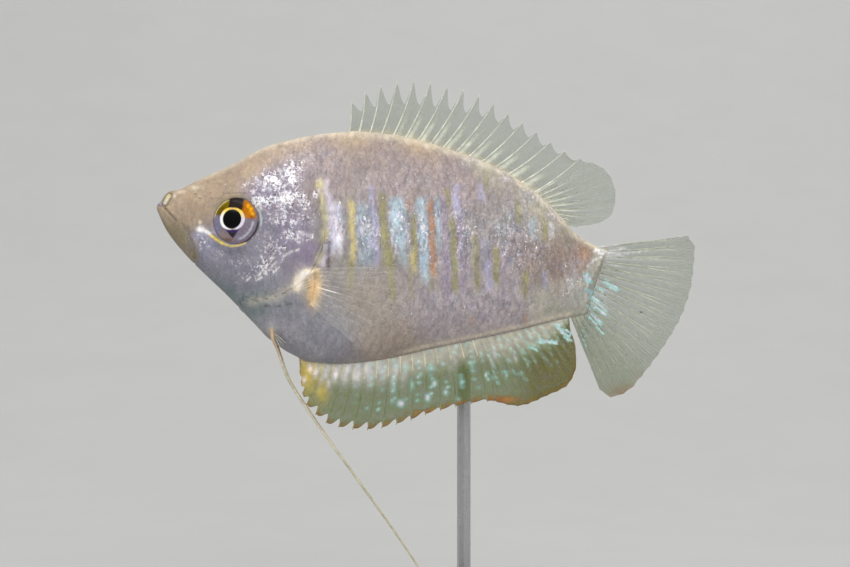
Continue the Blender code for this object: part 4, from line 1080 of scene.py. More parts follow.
def iris_colours(dx, dz, r, colours):
    """Painted iris, from places around the pupil and the eye's own radius: olive gold in front
    above with a pale arc, black on top, brown orange with a gold streak behind, lilac glass with a
    light arc below and painted shade at its lower rear edge, in the crease with the orbit, a dark
    wedge under the pupil, and the bright ring round it."""
    from_pupil = np.hypot(dx, dz)
    angle = np.degrees(np.arctan2(dz, dx)) % 360
    iris = Paint(colours, "iris_silver", dx, dz)
    iris.lay("smudge", 0.7 * iris.spot(-1.1, -1.8, 0.8, 0.7), 1.1)
    iris.lay("violet_band", np.minimum(1.2 * iris.spot(-1.65, -0.6, 0.4, 0.8), 0.9), 0.5)
    iris.lay("rust_band", 0.9 * iris.spot(-0.45, -2.3, 0.5, 0.22), 0.35)
    olive = iris.tone("iris_olive")
    olive = olive + olive * (0.9, 1.3, 2.0) * ease((dz - 1.2) / 0.6)[..., None] * 0.3
    iris.blend(olive, between(angle, 99, 8, 160, 9))
    iris.lay("gold_rim", 0.85 * bell(r - 2.5, 0.1) * between(angle, 102, 8, 168, 8), 0.85)
    behind = between(angle, -1.0, 7, 56, 8)
    iris.lay("iris_brown", behind)
    streak = bell(from_pupil - 2.36 + 0.06 * np.sin(angle * 0.35), 0.2) * between(angle, 6, 8, 42, 10)
    iris.lay("iris_orange", 1.4 * streak * (0.75 + 0.25 * np.sin(angle * 0.5)))
    iris.lay("smudge", behind * ease((from_pupil - 2.6) / 0.12))
    iris.lay("iris_brown", 0.8 * iris.spot(2.24, 0.2, 0.2, 0.2), 0.5)
    iris.lay("iris_black", 0.97 * between(dx, -0.6, 0.2, 1.0, 0.4) * ease((dz - 1.0) / 0.1))
    glass = between(angle, 284, 12, 352, 6)
    iris.lay("pale_band", 0.85 * glass * bell(from_pupil - 2.4, 0.13), 0.6)
    # Painted shade at the eye's lower rear edge, in the crease with the orbit.
    iris.lay("dark", 0.8 * glass * ease((from_pupil - 2.78) / 0.1))
    narrow = 0.85 - 0.8 * np.clip((-1.1 - dz) / 1.05, 0, 1)
    wedge = (1 - ease((np.abs(dx - 0.05) - narrow + 0.1) / 0.25)) * between(-dz, 1.0, 0.1, 2.0, 0.3)
    indigo = iris.tone("iris_indigo") * bell(dz + 1.3, 0.22)[..., None]
    iris.blend(iris.tone("iris_black") + indigo, 0.92 * wedge)
    places, widths, names = zip(*PUPIL_RING)
    ring = [np.interp(angle, places, tone) for tone in zip(*map(iris.tone, names))]
    wide = PUPIL_RADIUS + np.interp(angle, places, widths)
    iris.blend(np.stack(ring, axis=-1), ease((wide + 0.05 - from_pupil) / 0.1))
    return iris.lay("pupil", ease((PUPIL_RADIUS + 0.04 - from_pupil) / 0.08))


def scaly_skin(back, up):
    """True where scales grow on the trunk and tail stalk, behind the gill cover's rim."""
    offset = behind_rim(back, up)
    lobe = np.hypot((back - PECTORAL_LOBE[0] - 0.3) / 1.2, (up - PECTORAL_LOBE[1]) / 2.3) > 1.0
    height = np.clip((up - smooth(BELLY_LINE, back))
                     / (smooth(BACK_LINE, back) - smooth(BELLY_LINE, back)), 0, 1)
    return (offset > 0.3) & lobe & (back < ROOT_BACK(height) + 0.9)


def scaly_head(back, up):
    """True where the small scales of nape, cheek and gill cover grow."""
    offset = behind_rim(back, up)
    from_eye = eye_distance(back, up)
    snout = back - 6.3 - 0.25 * np.abs(up - 2.0)
    jaw = up - smooth(BELLY_LINE, back) - 1.1
    return (offset < -0.75) & (from_eye > 1.32) & (snout > 0) & (jaw > 0)


def build_scales(name, side, table, keep, span, sizes, colours, lift, material):
    """Joined scales: each is a rounded plate that follows the skin from a sunken root to a free
    rear edge, which turns down to the skin, so that rows overlap like tiles."""
    back, row = scale_places(sizes, *span)
    share = scale_share(table, back, row, sizes)
    middle_up = look_up(table, back, share)[1]
    kept = (share > 0.004) & (share < 0.996) & keep(back, middle_up)
    back, row, share = back[kept], row[kept], share[kept]
    draw = np.random.default_rng(11 + side)
    tone = draw.uniform(-1, 1, (len(back), 3))
    size = smooth(SCALE_SIZE, back)
    along_steps = np.concatenate([np.linspace(0.3, 0.94, ROOTS - 2), [0.985, 1.0]])
    across_steps = np.sin(np.linspace(-1, 1, WIDTHS) * np.pi / 2)
    a, b = np.meshgrid(along_steps, across_steps, indexing="ij")
    width = 0.98 * np.sqrt(np.clip(1 - ((a - 0.45) / 0.55).clip(0) ** 2, 0.01, 1))
    long = sizes.scale_pitch / MM * 2.0 * size * (1 + 0.04 * tone[:, 0])
    x = back[:, None, None] + long[:, None, None] * (a - 0.62)[None]
    rows = row[:, None, None] + (b * width)[None] + 0.04 * tone[:, 1][:, None, None]
    spot = scale_share(table, x, rows, sizes)
    across, up = look_up(table, x, spot)
    # Normals come from the table a small step away in both directions.
    step = 0.15
    ahead, behind = look_up(table, x + step, spot), look_up(table, x - step, spot)
    above, below = look_up(table, x, spot + 0.004), look_up(table, x, spot - 0.004)
    run = np.stack([np.full(x.shape, 2 * step), ahead[0] - behind[0], ahead[1] - behind[1]], -1)
    rise = np.stack([np.zeros(x.shape), above[0] - below[0], above[1] - below[1]], -1)
    normal = np.cross(rise, run)
    normal /= np.maximum(np.linalg.norm(normal, axis=-1, keepdims=True), 1e-9)
    normal *= np.sign(normal[..., 1:2] + 1e-9)
    thick = lift * size * (1 + 0.15 * tone[:, 2])
    profile = (-0.55 + 1.55 * ((a - 0.3) / 0.64) ** 0.8) * (1 - 0.3 * b**2)
    profile = np.where(a > 0.95, np.where(a > 0.99, -0.5, 0.8 - 0.3 * b**2), profile)
    profile = np.where(np.abs(b) > 0.99, np.minimum(profile, -0.2), profile)
    body = np.stack([x, across, up], -1) + normal * (thick[:, None, None] * profile[None])[..., None]
    points = place(body[..., 0], body[..., 1] * side, body[..., 2])
    colour = markings_and_painted_light(x, up, colours) * (1 + 0.07 * tone[:, 0])[:, None, None, None]
    silver = np.clip(patches(x, up, GLITTER) * (1 + 0.3 * tone[:, 1])[:, None, None], 0, 1)
    shine = np.clip(pearl(x, up) * (1 + 0.3 * tone[:, 2])[:, None, None], 0, 1)
    one = grid_faces(ROOTS, WIDTHS)
    quads = (one[None] + (np.arange(len(back)) * ROOTS * WIDTHS)[:, None, None]).reshape(-1, 4)
    if side > 0:
        quads = quads[:, ::-1]
    own = np.broadcast_to(np.stack([a, (b + 1) / 2], -1), (len(back), ROOTS, WIDTHS, 2))
    root = np.stack([back / 54.0, share * 0.46 + (0.0 if side < 0 else 0.5) + 0.02], -1)
    patch = root[:, None, None, :] + 0.003 * (own - 0.5)
    piece = mesh_piece(name, points, quads, {"MarkingsAndPaintedLight": colour, "Glitter": silver, "Pearl": shine},
                       {"OFBake": patch, "Scale": own})
    dress(piece, material)
    return piece


# Eyes

def build_eye(name, side, colours, material):
    """A turned eyeball: the pupil's dome, the bright ring round it and the iris' shallow dish,
    then a rounded edge that sinks into the orbit. Colours go by place around the pupil."""
    radius = np.concatenate([np.linspace(0.02, 0.5, 40), np.linspace(0.512, 1.0, 46)]) * EYE_RADIUS
    turn = np.linspace(0, 2 * np.pi, 193)[:-1]
    r, t = np.meshgrid(radius, turn, indexing="ij")
    along_eye, up_eye = r * np.cos(t), r * np.sin(t)
    dx, dz = along_eye - PUPIL[0], up_eye - PUPIL[1]
    from_pupil = np.hypot(dx, dz)
    height = 0.92 * np.sqrt(np.clip(1 - (r / EYE_RADIUS) ** 2, 0, 1)) - 0.12
    height = height + 0.04 * bell(from_pupil - 1.34, 0.14) - 0.09 * bell(from_pupil - 1.95, 0.3)
    height = height + 0.05 * np.sqrt(np.clip(1 - (from_pupil / PUPIL_RADIUS) ** 2, 0, 1))
    shade = iris_colours(dx, dz, r, colours)
    pupil = ease((PUPIL_RADIUS + 0.03 - from_pupil) / 0.06)
    iris = (1 - pupil) * ease((from_pupil - 1.45) / 0.15)
    outward = np.array([-EYE_TURN[0], side, -EYE_TURN[1]])
    outward /= np.linalg.norm(outward)
    upward = np.array([0.0, 0.0, 1.0]) - outward * outward[2]
    upward /= np.linalg.norm(upward)
    backward = np.cross(upward, outward) * side
    backward = backward * np.sign(backward[0])
    centre = place(EYE[0], side * (EYE_SURFACE - 0.1), EYE[1])
    points = centre + MM * (along_eye[..., None] * backward + up_eye[..., None] * upward
                            + height[..., None] * outward)
    count = points.shape[0] * points.shape[1]
    pole = centre + MM * outward * height[0].mean()
    base = centre - MM * outward * 0.9
    flat = np.concatenate([points.reshape(-1, 3), pole[None], base[None]])
    spokes = np.arange(len(turn))
    ahead = (spokes + 1) % len(turn)
    outer = count - len(turn)
    fans = [*np.stack([spokes, ahead, np.full(len(turn), count)], axis=1),
            *np.stack([ahead + outer, spokes + outer, np.full(len(turn), count + 1)], axis=1)]
    colour = np.concatenate([shade.reshape(-1, 3), np.repeat(linear(colours.pupil)[None], 2, 0)])
    flecked = np.concatenate([iris.reshape(-1), [0.0, 0.0]])
    piece = mesh_piece(name + "_ball", flat, grid_faces(len(radius), len(turn), wrap=True),
                       {"MarkingsAndPaintedLight": colour, "Iris": flecked}, extra=fans)
    turned_out(piece)
    dress(piece, material, (name,))


# Fins

def spread(line, first, at, crowding=1.0):
    """A function that runs the shares below `first` over the share `at` of a line, crowded
    towards its start by the power given, and the rest evenly over what remains."""
    def point(share):
        share = np.asarray(share, float)
        low = np.clip(share / first, 0, 1) ** crowding * at
        high = at + (share - first) / (1 - first) * (1 - at)
        return line(np.where(share < first, low, high))
    return point


class Fin:
    """A fin as a surface: root and margin curves over the share from its first ray to its last,
    and straight rays between them that bow a little."""

    def __init__(self, spines, rays, root, margin, across, bow=0.0):
        self.spines, self.rays = spines, rays
        self.root, self.margin, self.across, self.bow = root, margin, across, bow

    def share(self, ray):
        return np.asarray(ray, float) / (self.rays - 1)

    def points(self, ray, reach):
        """Points at a ray number, whole or between rays, and a share of the way to the margin."""
        start, end = self.root(self.share(ray)), self.margin(self.share(ray))
        line = end - start
        bend = np.stack([-line[..., 1], line[..., 0]], -1) * (self.bow * np.sin(np.pi * reach))[..., None]
        side = start + line * reach[..., None] + bend
        return place(side[..., 0], self.across(side[..., 0], side[..., 1], ray, reach), side[..., 1])

    def notch(self, ray, deep, shallow, flap):
        """How far the skin falls short of the margin: behind each spine a flap runs from near
        its tip down to the next one, and between soft rays the skin is slightly scalloped."""
        part = ray - np.floor(ray)
        spiny = 1 - ease((ray - self.spines + 1.5) / 2.5)
        fall = 0.02 + deep * ease(part / 0.9) ** flap * np.minimum(1, (1 - part) / 0.07)
        return spiny * fall + (1 - spiny) * shallow * np.sin(np.pi * part)


def side_places(points):
    """Back and up in millimetres of points in the frame."""
    return (points[..., 0] - MOUTH_X) / MM, (points[..., 2] - MOUTH_Z) / MM


def membrane(name, fin, columns, rows, notches, flap, paint, half, material, replaced):
    """The fin's skin as a closed sheet that sags a little between the rays."""
    steps = np.append(np.arange(columns) / columns, 0.97)
    ray = np.append((np.arange(fin.rays - 1)[:, None] + steps).ravel(), fin.rays - 1.0)
    v = np.linspace(0, 1, rows)
    ray, reach = np.meshgrid(ray, v)
    deep = smooth(notches, ray) if notches else 0.0
    reach = reach * (1 - fin.notch(ray, deep, 0.012, flap))
    middle = fin.points(ray, reach)
    normal = grid_normals(middle)
    sag = 0.05 * np.cos(2 * np.pi * ray) * np.sin(np.pi * reach)
    middle = middle + normal * sag[..., None] * MM
    taper = half * (1.0 - 0.6 * reach) * MM
    colour, opacity = paint(ray, reach, *side_places(middle))
    piece = closed_sheet(name, middle, normal, taper, {"MarkingsAndPaintedLight": colour, "Opacity": opacity})
    turned_out(piece)
    return dress(piece, material, replaced)


def ray_paths(fin, rays, steps, forks=(), spread_by=0.26):
    """Ray numbers along each ray's branches: a ray keeps its number up to the first fork, and
    each fork moves its two branches apart by half as much as the one before."""
    reach = np.linspace(0, 1, steps)
    lines = [np.zeros(steps)]
    for level, fork in enumerate(forks):
        part = ease((reach - fork) / (1.0 - fork)) * spread_by / (level + 1)
        lines = [line + sign * part for line in lines for sign in (-1, 1)]
    numbers = np.asarray(rays, float)[:, None, None] + np.array(lines)[None]
    numbers = np.clip(numbers.reshape(-1, steps), 0, fin.rays - 1)
    return numbers, np.broadcast_to(reach, numbers.shape)


def build_rays(name, fin, rays, forks, radii, paint, material, steps=26, joints=0):
    """Tapered rays from the first radius to the second; jointed soft rays swell at each joint."""
    numbers, reach = ray_paths(fin, rays, steps, forks)
    paths = fin.points(numbers, reach)
    radius = radii[0] + (radii[1] - radii[0]) * reach**0.7
    if joints:
        radius = radius * (1 + 0.16 * np.cos(2 * np.pi * joints * reach) * ease(reach / 0.25))
    colour, opacity = paint(numbers, reach, *side_places(paths))
    piece = tubes(name, paths, radius * MM, {"MarkingsAndPaintedLight": colour, "Opacity": opacity})
    return dress(piece, material)


def flecks(seed, count, rays, low, high, ray_reach, reach_reach):
    """Soft fleck strength over a fin, from seeded places between rays."""
    draw = np.random.default_rng(seed)
    places = np.stack([np.floor(draw.uniform(0, rays - 1, count)) + draw.uniform(0.3, 0.7, count),
                       low + (high - low) * draw.uniform(0, 1, count) ** 1.1,
                       draw.uniform(0.5, 1.0, count)], axis=1)

    def amount(ray, reach):
        found = np.zeros(np.shape(ray))
        for at, height, strength in places:
            oval = np.hypot((ray - at) / ray_reach, (reach - height) / reach_reach)
            found = np.maximum(found, strength * bell(oval, 1.0))
        return found
    return amount


# Patches of the anal fin in each colour, in the form of GLITTER; the glitter patches are painted glints
ANAL_PATCHES = (
    ("fin_gold", (17.3, -19.6, 1.3, 2.2, 0.85), (18.9, -21.4, 0.8, 1.6, 0.7),
     (23.5, -17.6, 4.0, 0.5, 0.2)),
    ("pale_band", (23.3, -19.0, 3.4, 1.7, 0.55), (19.4, -19.6, 1.2, 1.4, 0.4),
     (27.5, -19.6, 1.2, 1.8, 0.35), (34.0, -18.6, 0.35, 0.9, 0.6), (38.7, -17.6, 0.3, 0.9, 0.6),
     (41.0, -17.8, 0.4, 0.4, 0.6)),
    ("glitter", (17.6, -18.8, 0.25, 0.5, 0.9), (18.2, -19.4, 0.3, 0.45, 0.9),
     (20.5, -19.6, 0.3, 0.6, 0.9), (16.9, -20.2, 0.25, 0.4, 0.7), (19.7, -20.6, 0.25, 0.6, 0.5)),
    ("fin_edge", (40.0, -22.4, 1.7, 0.35, 0.95), (31.5, -23.9, 2.2, 0.25, 0.7),
     (16.3, -20.6, 0.3, 1.2, 0.8), (35.5, -22.9, 1.6, 0.2, 0.5)),
    ("turquoise", (28.0, -22.9, 0.45, 0.42, 1.0), (31.1, -22.2, 0.33, 0.5, 1.0),
     (31.9, -20.6, 0.3, 0.42, 0.9), (33.2, -21.6, 0.33, 0.36, 0.8), (35.0, -20.5, 0.3, 0.4, 0.7),
     (29.3, -20.8, 0.25, 0.75, 0.6), (31.5, -18.9, 0.5, 0.32, 0.7), (27.3, -21.2, 0.25, 0.6, 0.4),
     (36.2, -18.6, 0.25, 0.4, 0.5), (43.2, -16.3, 0.4, 0.25, 0.5), (40.0, -19.3, 0.6, 0.2, 0.4),
     (41.6, -19.5, 0.5, 0.2, 0.4), (34.6, -22.4, 0.25, 0.3, 0.6), (37.0, -21.0, 0.3, 0.25, 0.4),
     (38.6, -19.9, 0.3, 0.3, 0.4)),
)


def middle_line(wave):
    """Across of a fin that stands on the fish's middle line, with a slight wave outwards."""
    def across(x, z, ray, reach):
        return wave * reach * np.sin(0.55 * ray + 2.0 * reach)
    return across


def upright_fin(spines, rays, span, outline, margin, shares, crowding, side):
    """A fin on the back (side -1) or the belly (side 1): its root runs just inside the outline
    over the span, and the share of root and margin that its spines take comes with their
    crowding towards the front."""
    def root(s):
        back = span[0] + (span[1] - span[0]) * s
        return np.stack([back, smooth(outline, back) + 0.25 * side], -1)

    first = (spines - 1) / (rays - 1)
    return Fin(spines, rays, spread(root, first, shares[0], crowding[0]),
               spread(lambda s: along(margin, s), first, shares[1], crowding[1]), middle_line(0.12),
               bow=0.03 * side)


def build_dorsal(colours, skin, bone):
    fin = upright_fin(16, 25, DORSAL_ROOT, BACK_LINE, DORSAL_MARGIN, DORSAL_SPINE_SHARES,
                      DORSAL_CROWDING, -1)

    def paint(ray, reach, back, up):
        web = Paint(colours, "fin_grey", back, up)
        web.lay("cream", 0.8 * (1 - ease(reach / 0.22)))
        glass = bell(ray - np.floor(ray) - 0.3, 0.2) * bell(reach - 0.2, 0.26) * ease((ray - 2.0) / 4.0)
        web.lay("ray", 0.9 * glass)
        tip = web.patches((47.9, 5.5, 0.7, 0.4, 0.9), (41.6, 9.9, 0.5, 0.3, 0.5))
        opacity = 0.3 - 0.08 * ease(reach / 0.6) + 0.4 * (1 - ease(reach / 0.2))
        return web.lay("fin_edge", tip), np.clip(opacity + 0.4 * glass + 0.35 * tip, 0, 0.95)

    def paint_ray(ray, reach, back, up):
        bones = Paint(colours, "ray", back, up)
        bones.lay("fin_grey", 0.15 * ease((ray - 15.0) / 2.0) * ease(reach / 0.5))
        bones.lay("spark", 0.8 * ease(np.sin(reach * 31.0 + ray * 4.0) - 0.3) * bell(reach - 0.4, 0.3))
        soft = ease((ray - 15.2) / 0.6)
        return bones.colour, 0.9 - 0.3 * ease(reach) - 0.45 * soft * ease(reach / 0.6)

    membrane("dorsal_fin_skin", fin, 9, 34, DORSAL_NOTCH, 0.6, paint, 0.05, skin,
             ("dorsal_fin",))
    build_rays("dorsal_fin_spines", fin, range(16), (), (0.13, 0.05), paint_ray, bone)
    build_rays("dorsal_fin_soft_rays", fin, range(16, 25), (0.35, 0.62), (0.1, 0.035), paint_ray, bone,
               joints=14)


def build_anal(colours, skin, bone):
    fin = upright_fin(17, 31, ANAL_ROOT, BELLY_LINE, ANAL_MARGIN, ANAL_SPINE_SHARES, ANAL_CROWDING, 1)
    blue_spots = flecks(9, 230, 31, 0.06, 0.74, 0.15, 0.026)

    def paint(ray, reach, back, up):
        web = Paint(colours, "fin_pale", back, up)
        web.lay("fin_olive", ease((reach - 0.1) / 0.4))
        rear = ease((back - 40.0) / 4.0)
        web.lay("fin_rear", 0.9 * rear * ease((reach - 0.25) / 0.4))
        solid = 0.0
        for name, *table in ANAL_PATCHES:
            amount = patches(back, up, table)
            if name == "pale_band":
                gap = ease(0.6 + 0.6 * np.cos(2 * np.pi * (ray - 0.4) + np.sin(9 * reach + ray)))
                amount = amount * (0.2 + 0.9 * gap)
            web.lay(name, amount)
            solid = np.maximum(solid, amount)
        blue = 0.85 * blue_spots(ray, reach) * ease((ray - 5.0) / 4.0)
        blue = blue * (1 - 0.6 * rear * ease(reach / 0.6))
        web.lay("turquoise", blue)
        # Painted highlights: lilac white cores on the strongest patches and blue spots.
        web.lay("lilac_white", ease((np.maximum(amount, blue) - 0.55) / 0.3))
        tail_gleams(web)
        blue = np.maximum(blue, gleams(back, up, GLEAMS))
        part = ray - np.floor(ray)
        lobe = ease((reach - 0.86) / 0.1) * (part < 0.75) * (1 - ease((ray - 17.0) / 2.0))
        web.lay("fin_edge", 0.5 * lobe)
        edge = ease((reach - 0.93) / 0.06) * ease((ray - 15.0) / 3.0)
        web.lay("fin_edge", 0.4 * edge, 0.8)
        opacity = 0.7 - 0.1 * ease((reach - 0.2) / 0.5) + 0.16 * rear
        opacity = opacity + 0.35 * np.maximum(solid, blue) + 0.25 * np.maximum(lobe, edge)
        return web.colour, np.clip(opacity, 0, 0.96)

    def paint_ray(ray, reach, back, up):
        bones = Paint(colours, "ray", back, up)
        bones.lay("fin_olive", 0.6 * ease((reach - 0.35) / 0.5))
        bones.lay("fin_gold", 0.25 + 0.45 * (1 - ease((ray - 3.0) / 4.0)))
        bones.lay("fin_edge", 0.9 * bell(ray, 0.6) * ease(reach / 0.3))
        bones.lay("fin_edge", 0.3 * ease((reach - 0.9) / 0.1))
        return bones.colour, 0.8 - 0.3 * ease(reach / 0.8) - 0.3 * ease((ray - 16.0) / 2.0)

    membrane("anal_fin_skin", fin, 8, 40, ANAL_NOTCH, 2.2, paint, 0.05, skin,
             ("anal_fin",))
    build_rays("anal_fin_spines", fin, range(17), (), (0.12, 0.05), paint_ray, bone)
    build_rays("anal_fin_soft_rays", fin, range(17, 31), (0.4, 0.68), (0.09, 0.03), paint_ray, bone,
               joints=12)


def build_caudal(colours, skin, bone):
    start = CAUDAL_BASE[0][0] - 0.4
    reach_back = (CAD_BOX[1][0] - CAD_BOX[0][0]) / MM - start

    def across(x, z, ray, reach):
        return CAUDAL_SWEEP * (np.maximum(x - start, 0) / reach_back) ** 2 + 0.1 * reach * np.sin(0.9 * ray)

    fin = Fin(0, 17, lambda s: along(CAUDAL_BASE, s), lambda s: along(CAUDAL_MARGIN, s), across)

    def paint(ray, reach, back, up):
        web = Paint(colours, "fin_pale", back, up)
        web.lay("fin_grey", ease((reach - 0.02) / 0.2))
        low = ease((ray - 7.0) / 8.0)
        web.lay("fin_olive", 0.6 * low * ease(reach / 0.5))
        corner = web.patches((53.8, -21.6, 1.9, 1.0, 0.4), (56.3, -19.8, 1.5, 0.7, 0.2))
        web.lay("fin_edge", corner)
        web.lay("fin_edge", 0.5 * ease((reach - 0.96) / 0.04) * low)
        tail_gleams(web)
        bright = np.maximum(gleams(back, up, GLEAMS), gleams(back, up, WHITE_HIGHLIGHTS))
        haze = web.patches((52.6, -5.7, 2.0, 0.7, 0.6), (51.0, -10.6, 1.2, 2.2, 0.35))
        web.lay("pale_band", haze * (1 - bright))
        dot = ease((0.16 - np.hypot(back - 55.6, up + 12.4)) / 0.06)
        web.lay("dark", dot, 0.3)
        solid = np.maximum(np.maximum(bright, 0.6 * haze), np.maximum(corner, dot))
        opacity = 0.36 - 0.08 * ease(reach / 0.5) + 0.6 * (1 - ease(reach / 0.07)) + 0.16 * low
        return web.colour, np.clip(opacity + 0.45 * solid, 0, 0.96)

    def paint_ray(ray, reach, back, up):
        bones = Paint(colours, "ray", back, up)
        bones.lay("fin_grey", 0.12 * ease(reach))
        bones.lay("spark", bell(reach - 0.12, 0.12) * (1 - ease((ray - 2.5) / 1.5)))
        return bones.lay("fin_olive", 0.3 * ease((ray - 8.0) / 7.0)), 0.75 - 0.45 * ease(reach)

    membrane("caudal_fin_skin", fin, 12, 60, None, 1.0, paint, 0.05, skin,
             ("caudal_fin",))
    build_rays("caudal_fin_rays", fin, range(17), (0.28, 0.55), (0.13, 0.03), paint_ray, bone,
               steps=34, joints=22)


def build_pectoral(name, side, colours, skin, bone):
    line = along(PECTORAL_ROOT, np.linspace(0, 1, 9))
    start = half_width(line[:, 0], line[:, 1]).max() + 0.35

    def across(x, z, ray, reach):
        out = start + (x - PECTORAL_ROOT[0][0]) * math.tan(PECTORAL_SPREAD)
        return side * (out + 0.25 * np.sin(0.5 * ray) * reach)

    fin = Fin(0, 11, lambda s: along(PECTORAL_ROOT, s), lambda s: along(PECTORAL_MARGIN, s), across)

    def paint(ray, reach, back, up):
        web = Paint(colours, "fin_clear", back, up)
        web.lay("pectoral", 0.9 * (1 - ease(reach / 0.12)))
        # Painted shadow below the pale fold, on the fin's root.
        web.lay("olive_band", 0.85 * web.spot(18.5, -8.2, 0.4, 0.4), 0.7)
        web.lay("cream", bell(ray, 0.7) * (1 - ease(reach / 0.14)), 1.2)
        return web.colour, 0.8 - 0.72 * ease(reach / 0.11) - 0.06 * ease((reach - 0.6) / 0.4)

    def paint_ray(ray, reach, back, up):
        bones = Paint(colours, "fin_clear", back, up)
        bones.lay("pectoral", 0.9 * (1 - ease(reach / 0.14)))
        light = bell(ray - 5.0, 0.8) * bell(reach - 0.17, 0.1)
        bones.lay("spark", 0.8 * light)
        return bones.colour, np.clip(0.6 - 0.5 * ease(reach / 0.18) + 0.5 * light, 0, 0.9)

    web = membrane(name + "_skin", fin, 8, 24, None, 1.0, paint, 0.04, skin, (name,))
    rays = build_rays(name + "_rays", fin, range(11), (0.4, 0.7), (0.08, 0.02), paint_ray, bone,
                      joints=10)
    web.visible_shadow = rays.visible_shadow = False


def build_feeler(name, side, sizes, colours, bone):
    """The pelvic fin: one long feeler with faint joints, and three short rays beside its root."""
    back, up = PELVIC_ROOT
    surface = float(half_width(np.array(back), np.array(up)))
    drop = PELVIC_RIGHT_DROP if side > 0 else 0.0
    controls = [(back, up + 0.3, surface - 0.3), (back + 0.1, up - 0.8, surface + 0.8),
                *((x, z - drop, y) for x, z, y in PELVIC_PATH)]
    share = np.linspace(0, 1, 150)
    path = along(controls, share)
    long = place(path[:, 0], side * path[:, 2], path[:, 1])
    radii = sizes.feeler_radius / MM * (1 + 1.2 * (1 - ease(share / 0.08)) - 0.38 * ease(share))
    radii = radii * (1 + 0.07 * np.cos(2 * np.pi * 60 * share))
    skin = Paint(colours, "feeler", path[:, 0], path[:, 1])
    shade = skin.lay("rust_band", 0.5 * (1 - ease((share - 0.08) / 0.06)))
    piece = tubes(name + "_feeler", long[None], radii[None] * MM,
                  {"MarkingsAndPaintedLight": shade[None], "Opacity": np.ones((1, 150))}, 8)
    dress(piece, bone, (name,))
    turn = np.array([0.25, 0.5, 0.75])[:, None]
    reach = np.linspace(0, 1, 14)[None]
    short = place(back + 0.3 * turn + reach * (0.7 + 0.9 * turn), side * (surface + 0.2 + 0.3 * reach),
                  up - 0.3 - reach * (1.9 - 1.0 * turn))
    taper = np.broadcast_to(0.11 - 0.08 * reach, (3, 14))
    shade = np.broadcast_to(linear(colours.fin_pale), (3, 14, 3))
    piece = tubes(name + "_short_rays", short, taper * MM,
                  {"MarkingsAndPaintedLight": shade, "Opacity": np.full((3, 14), 0.7)})
    dress(piece, bone)


# Settings

def size_property(label, words, value):
    return bpy.props.FloatProperty(name=label, description=words, default=value, unit="LENGTH",
                                   min=0.0, precision=5)


def share_property(label, words, value):
    return bpy.props.FloatProperty(name=label, description=words, default=value, min=0.0, max=2.0)


def colour_property(name, words, red, green, blue):
    value = (red / 255, green / 255, blue / 255)
    return bpy.props.FloatVectorProperty(name=name.replace("_", " ").capitalize(), description=words,
                                         default=value, size=3, subtype="COLOR_GAMMA", min=0.0,
                                         max=1.0)


class GouramiSizes(bpy.types.PropertyGroup):
    scale_pitch: size_property("Scale pitch", "Distance between scales along a row", 1.12 * MM)
    scale_height: size_property("Row height", "Distance between rows of scales", 1.2 * MM)
    scale_lift: size_property("Scale lift", "Height of a scale's free edge", 0.05 * MM)
    feeler_radius: size_property("Feeler radius", "Radius of the long pelvic feelers", 0.14 * MM)
    relief: share_property("Relief", "Strength of lips, creases, rims and fleshy roots", 1.0)
    gill_raise: share_property("Gill rise", "How far the gill cover's rim stands out, in mm", 0.11)


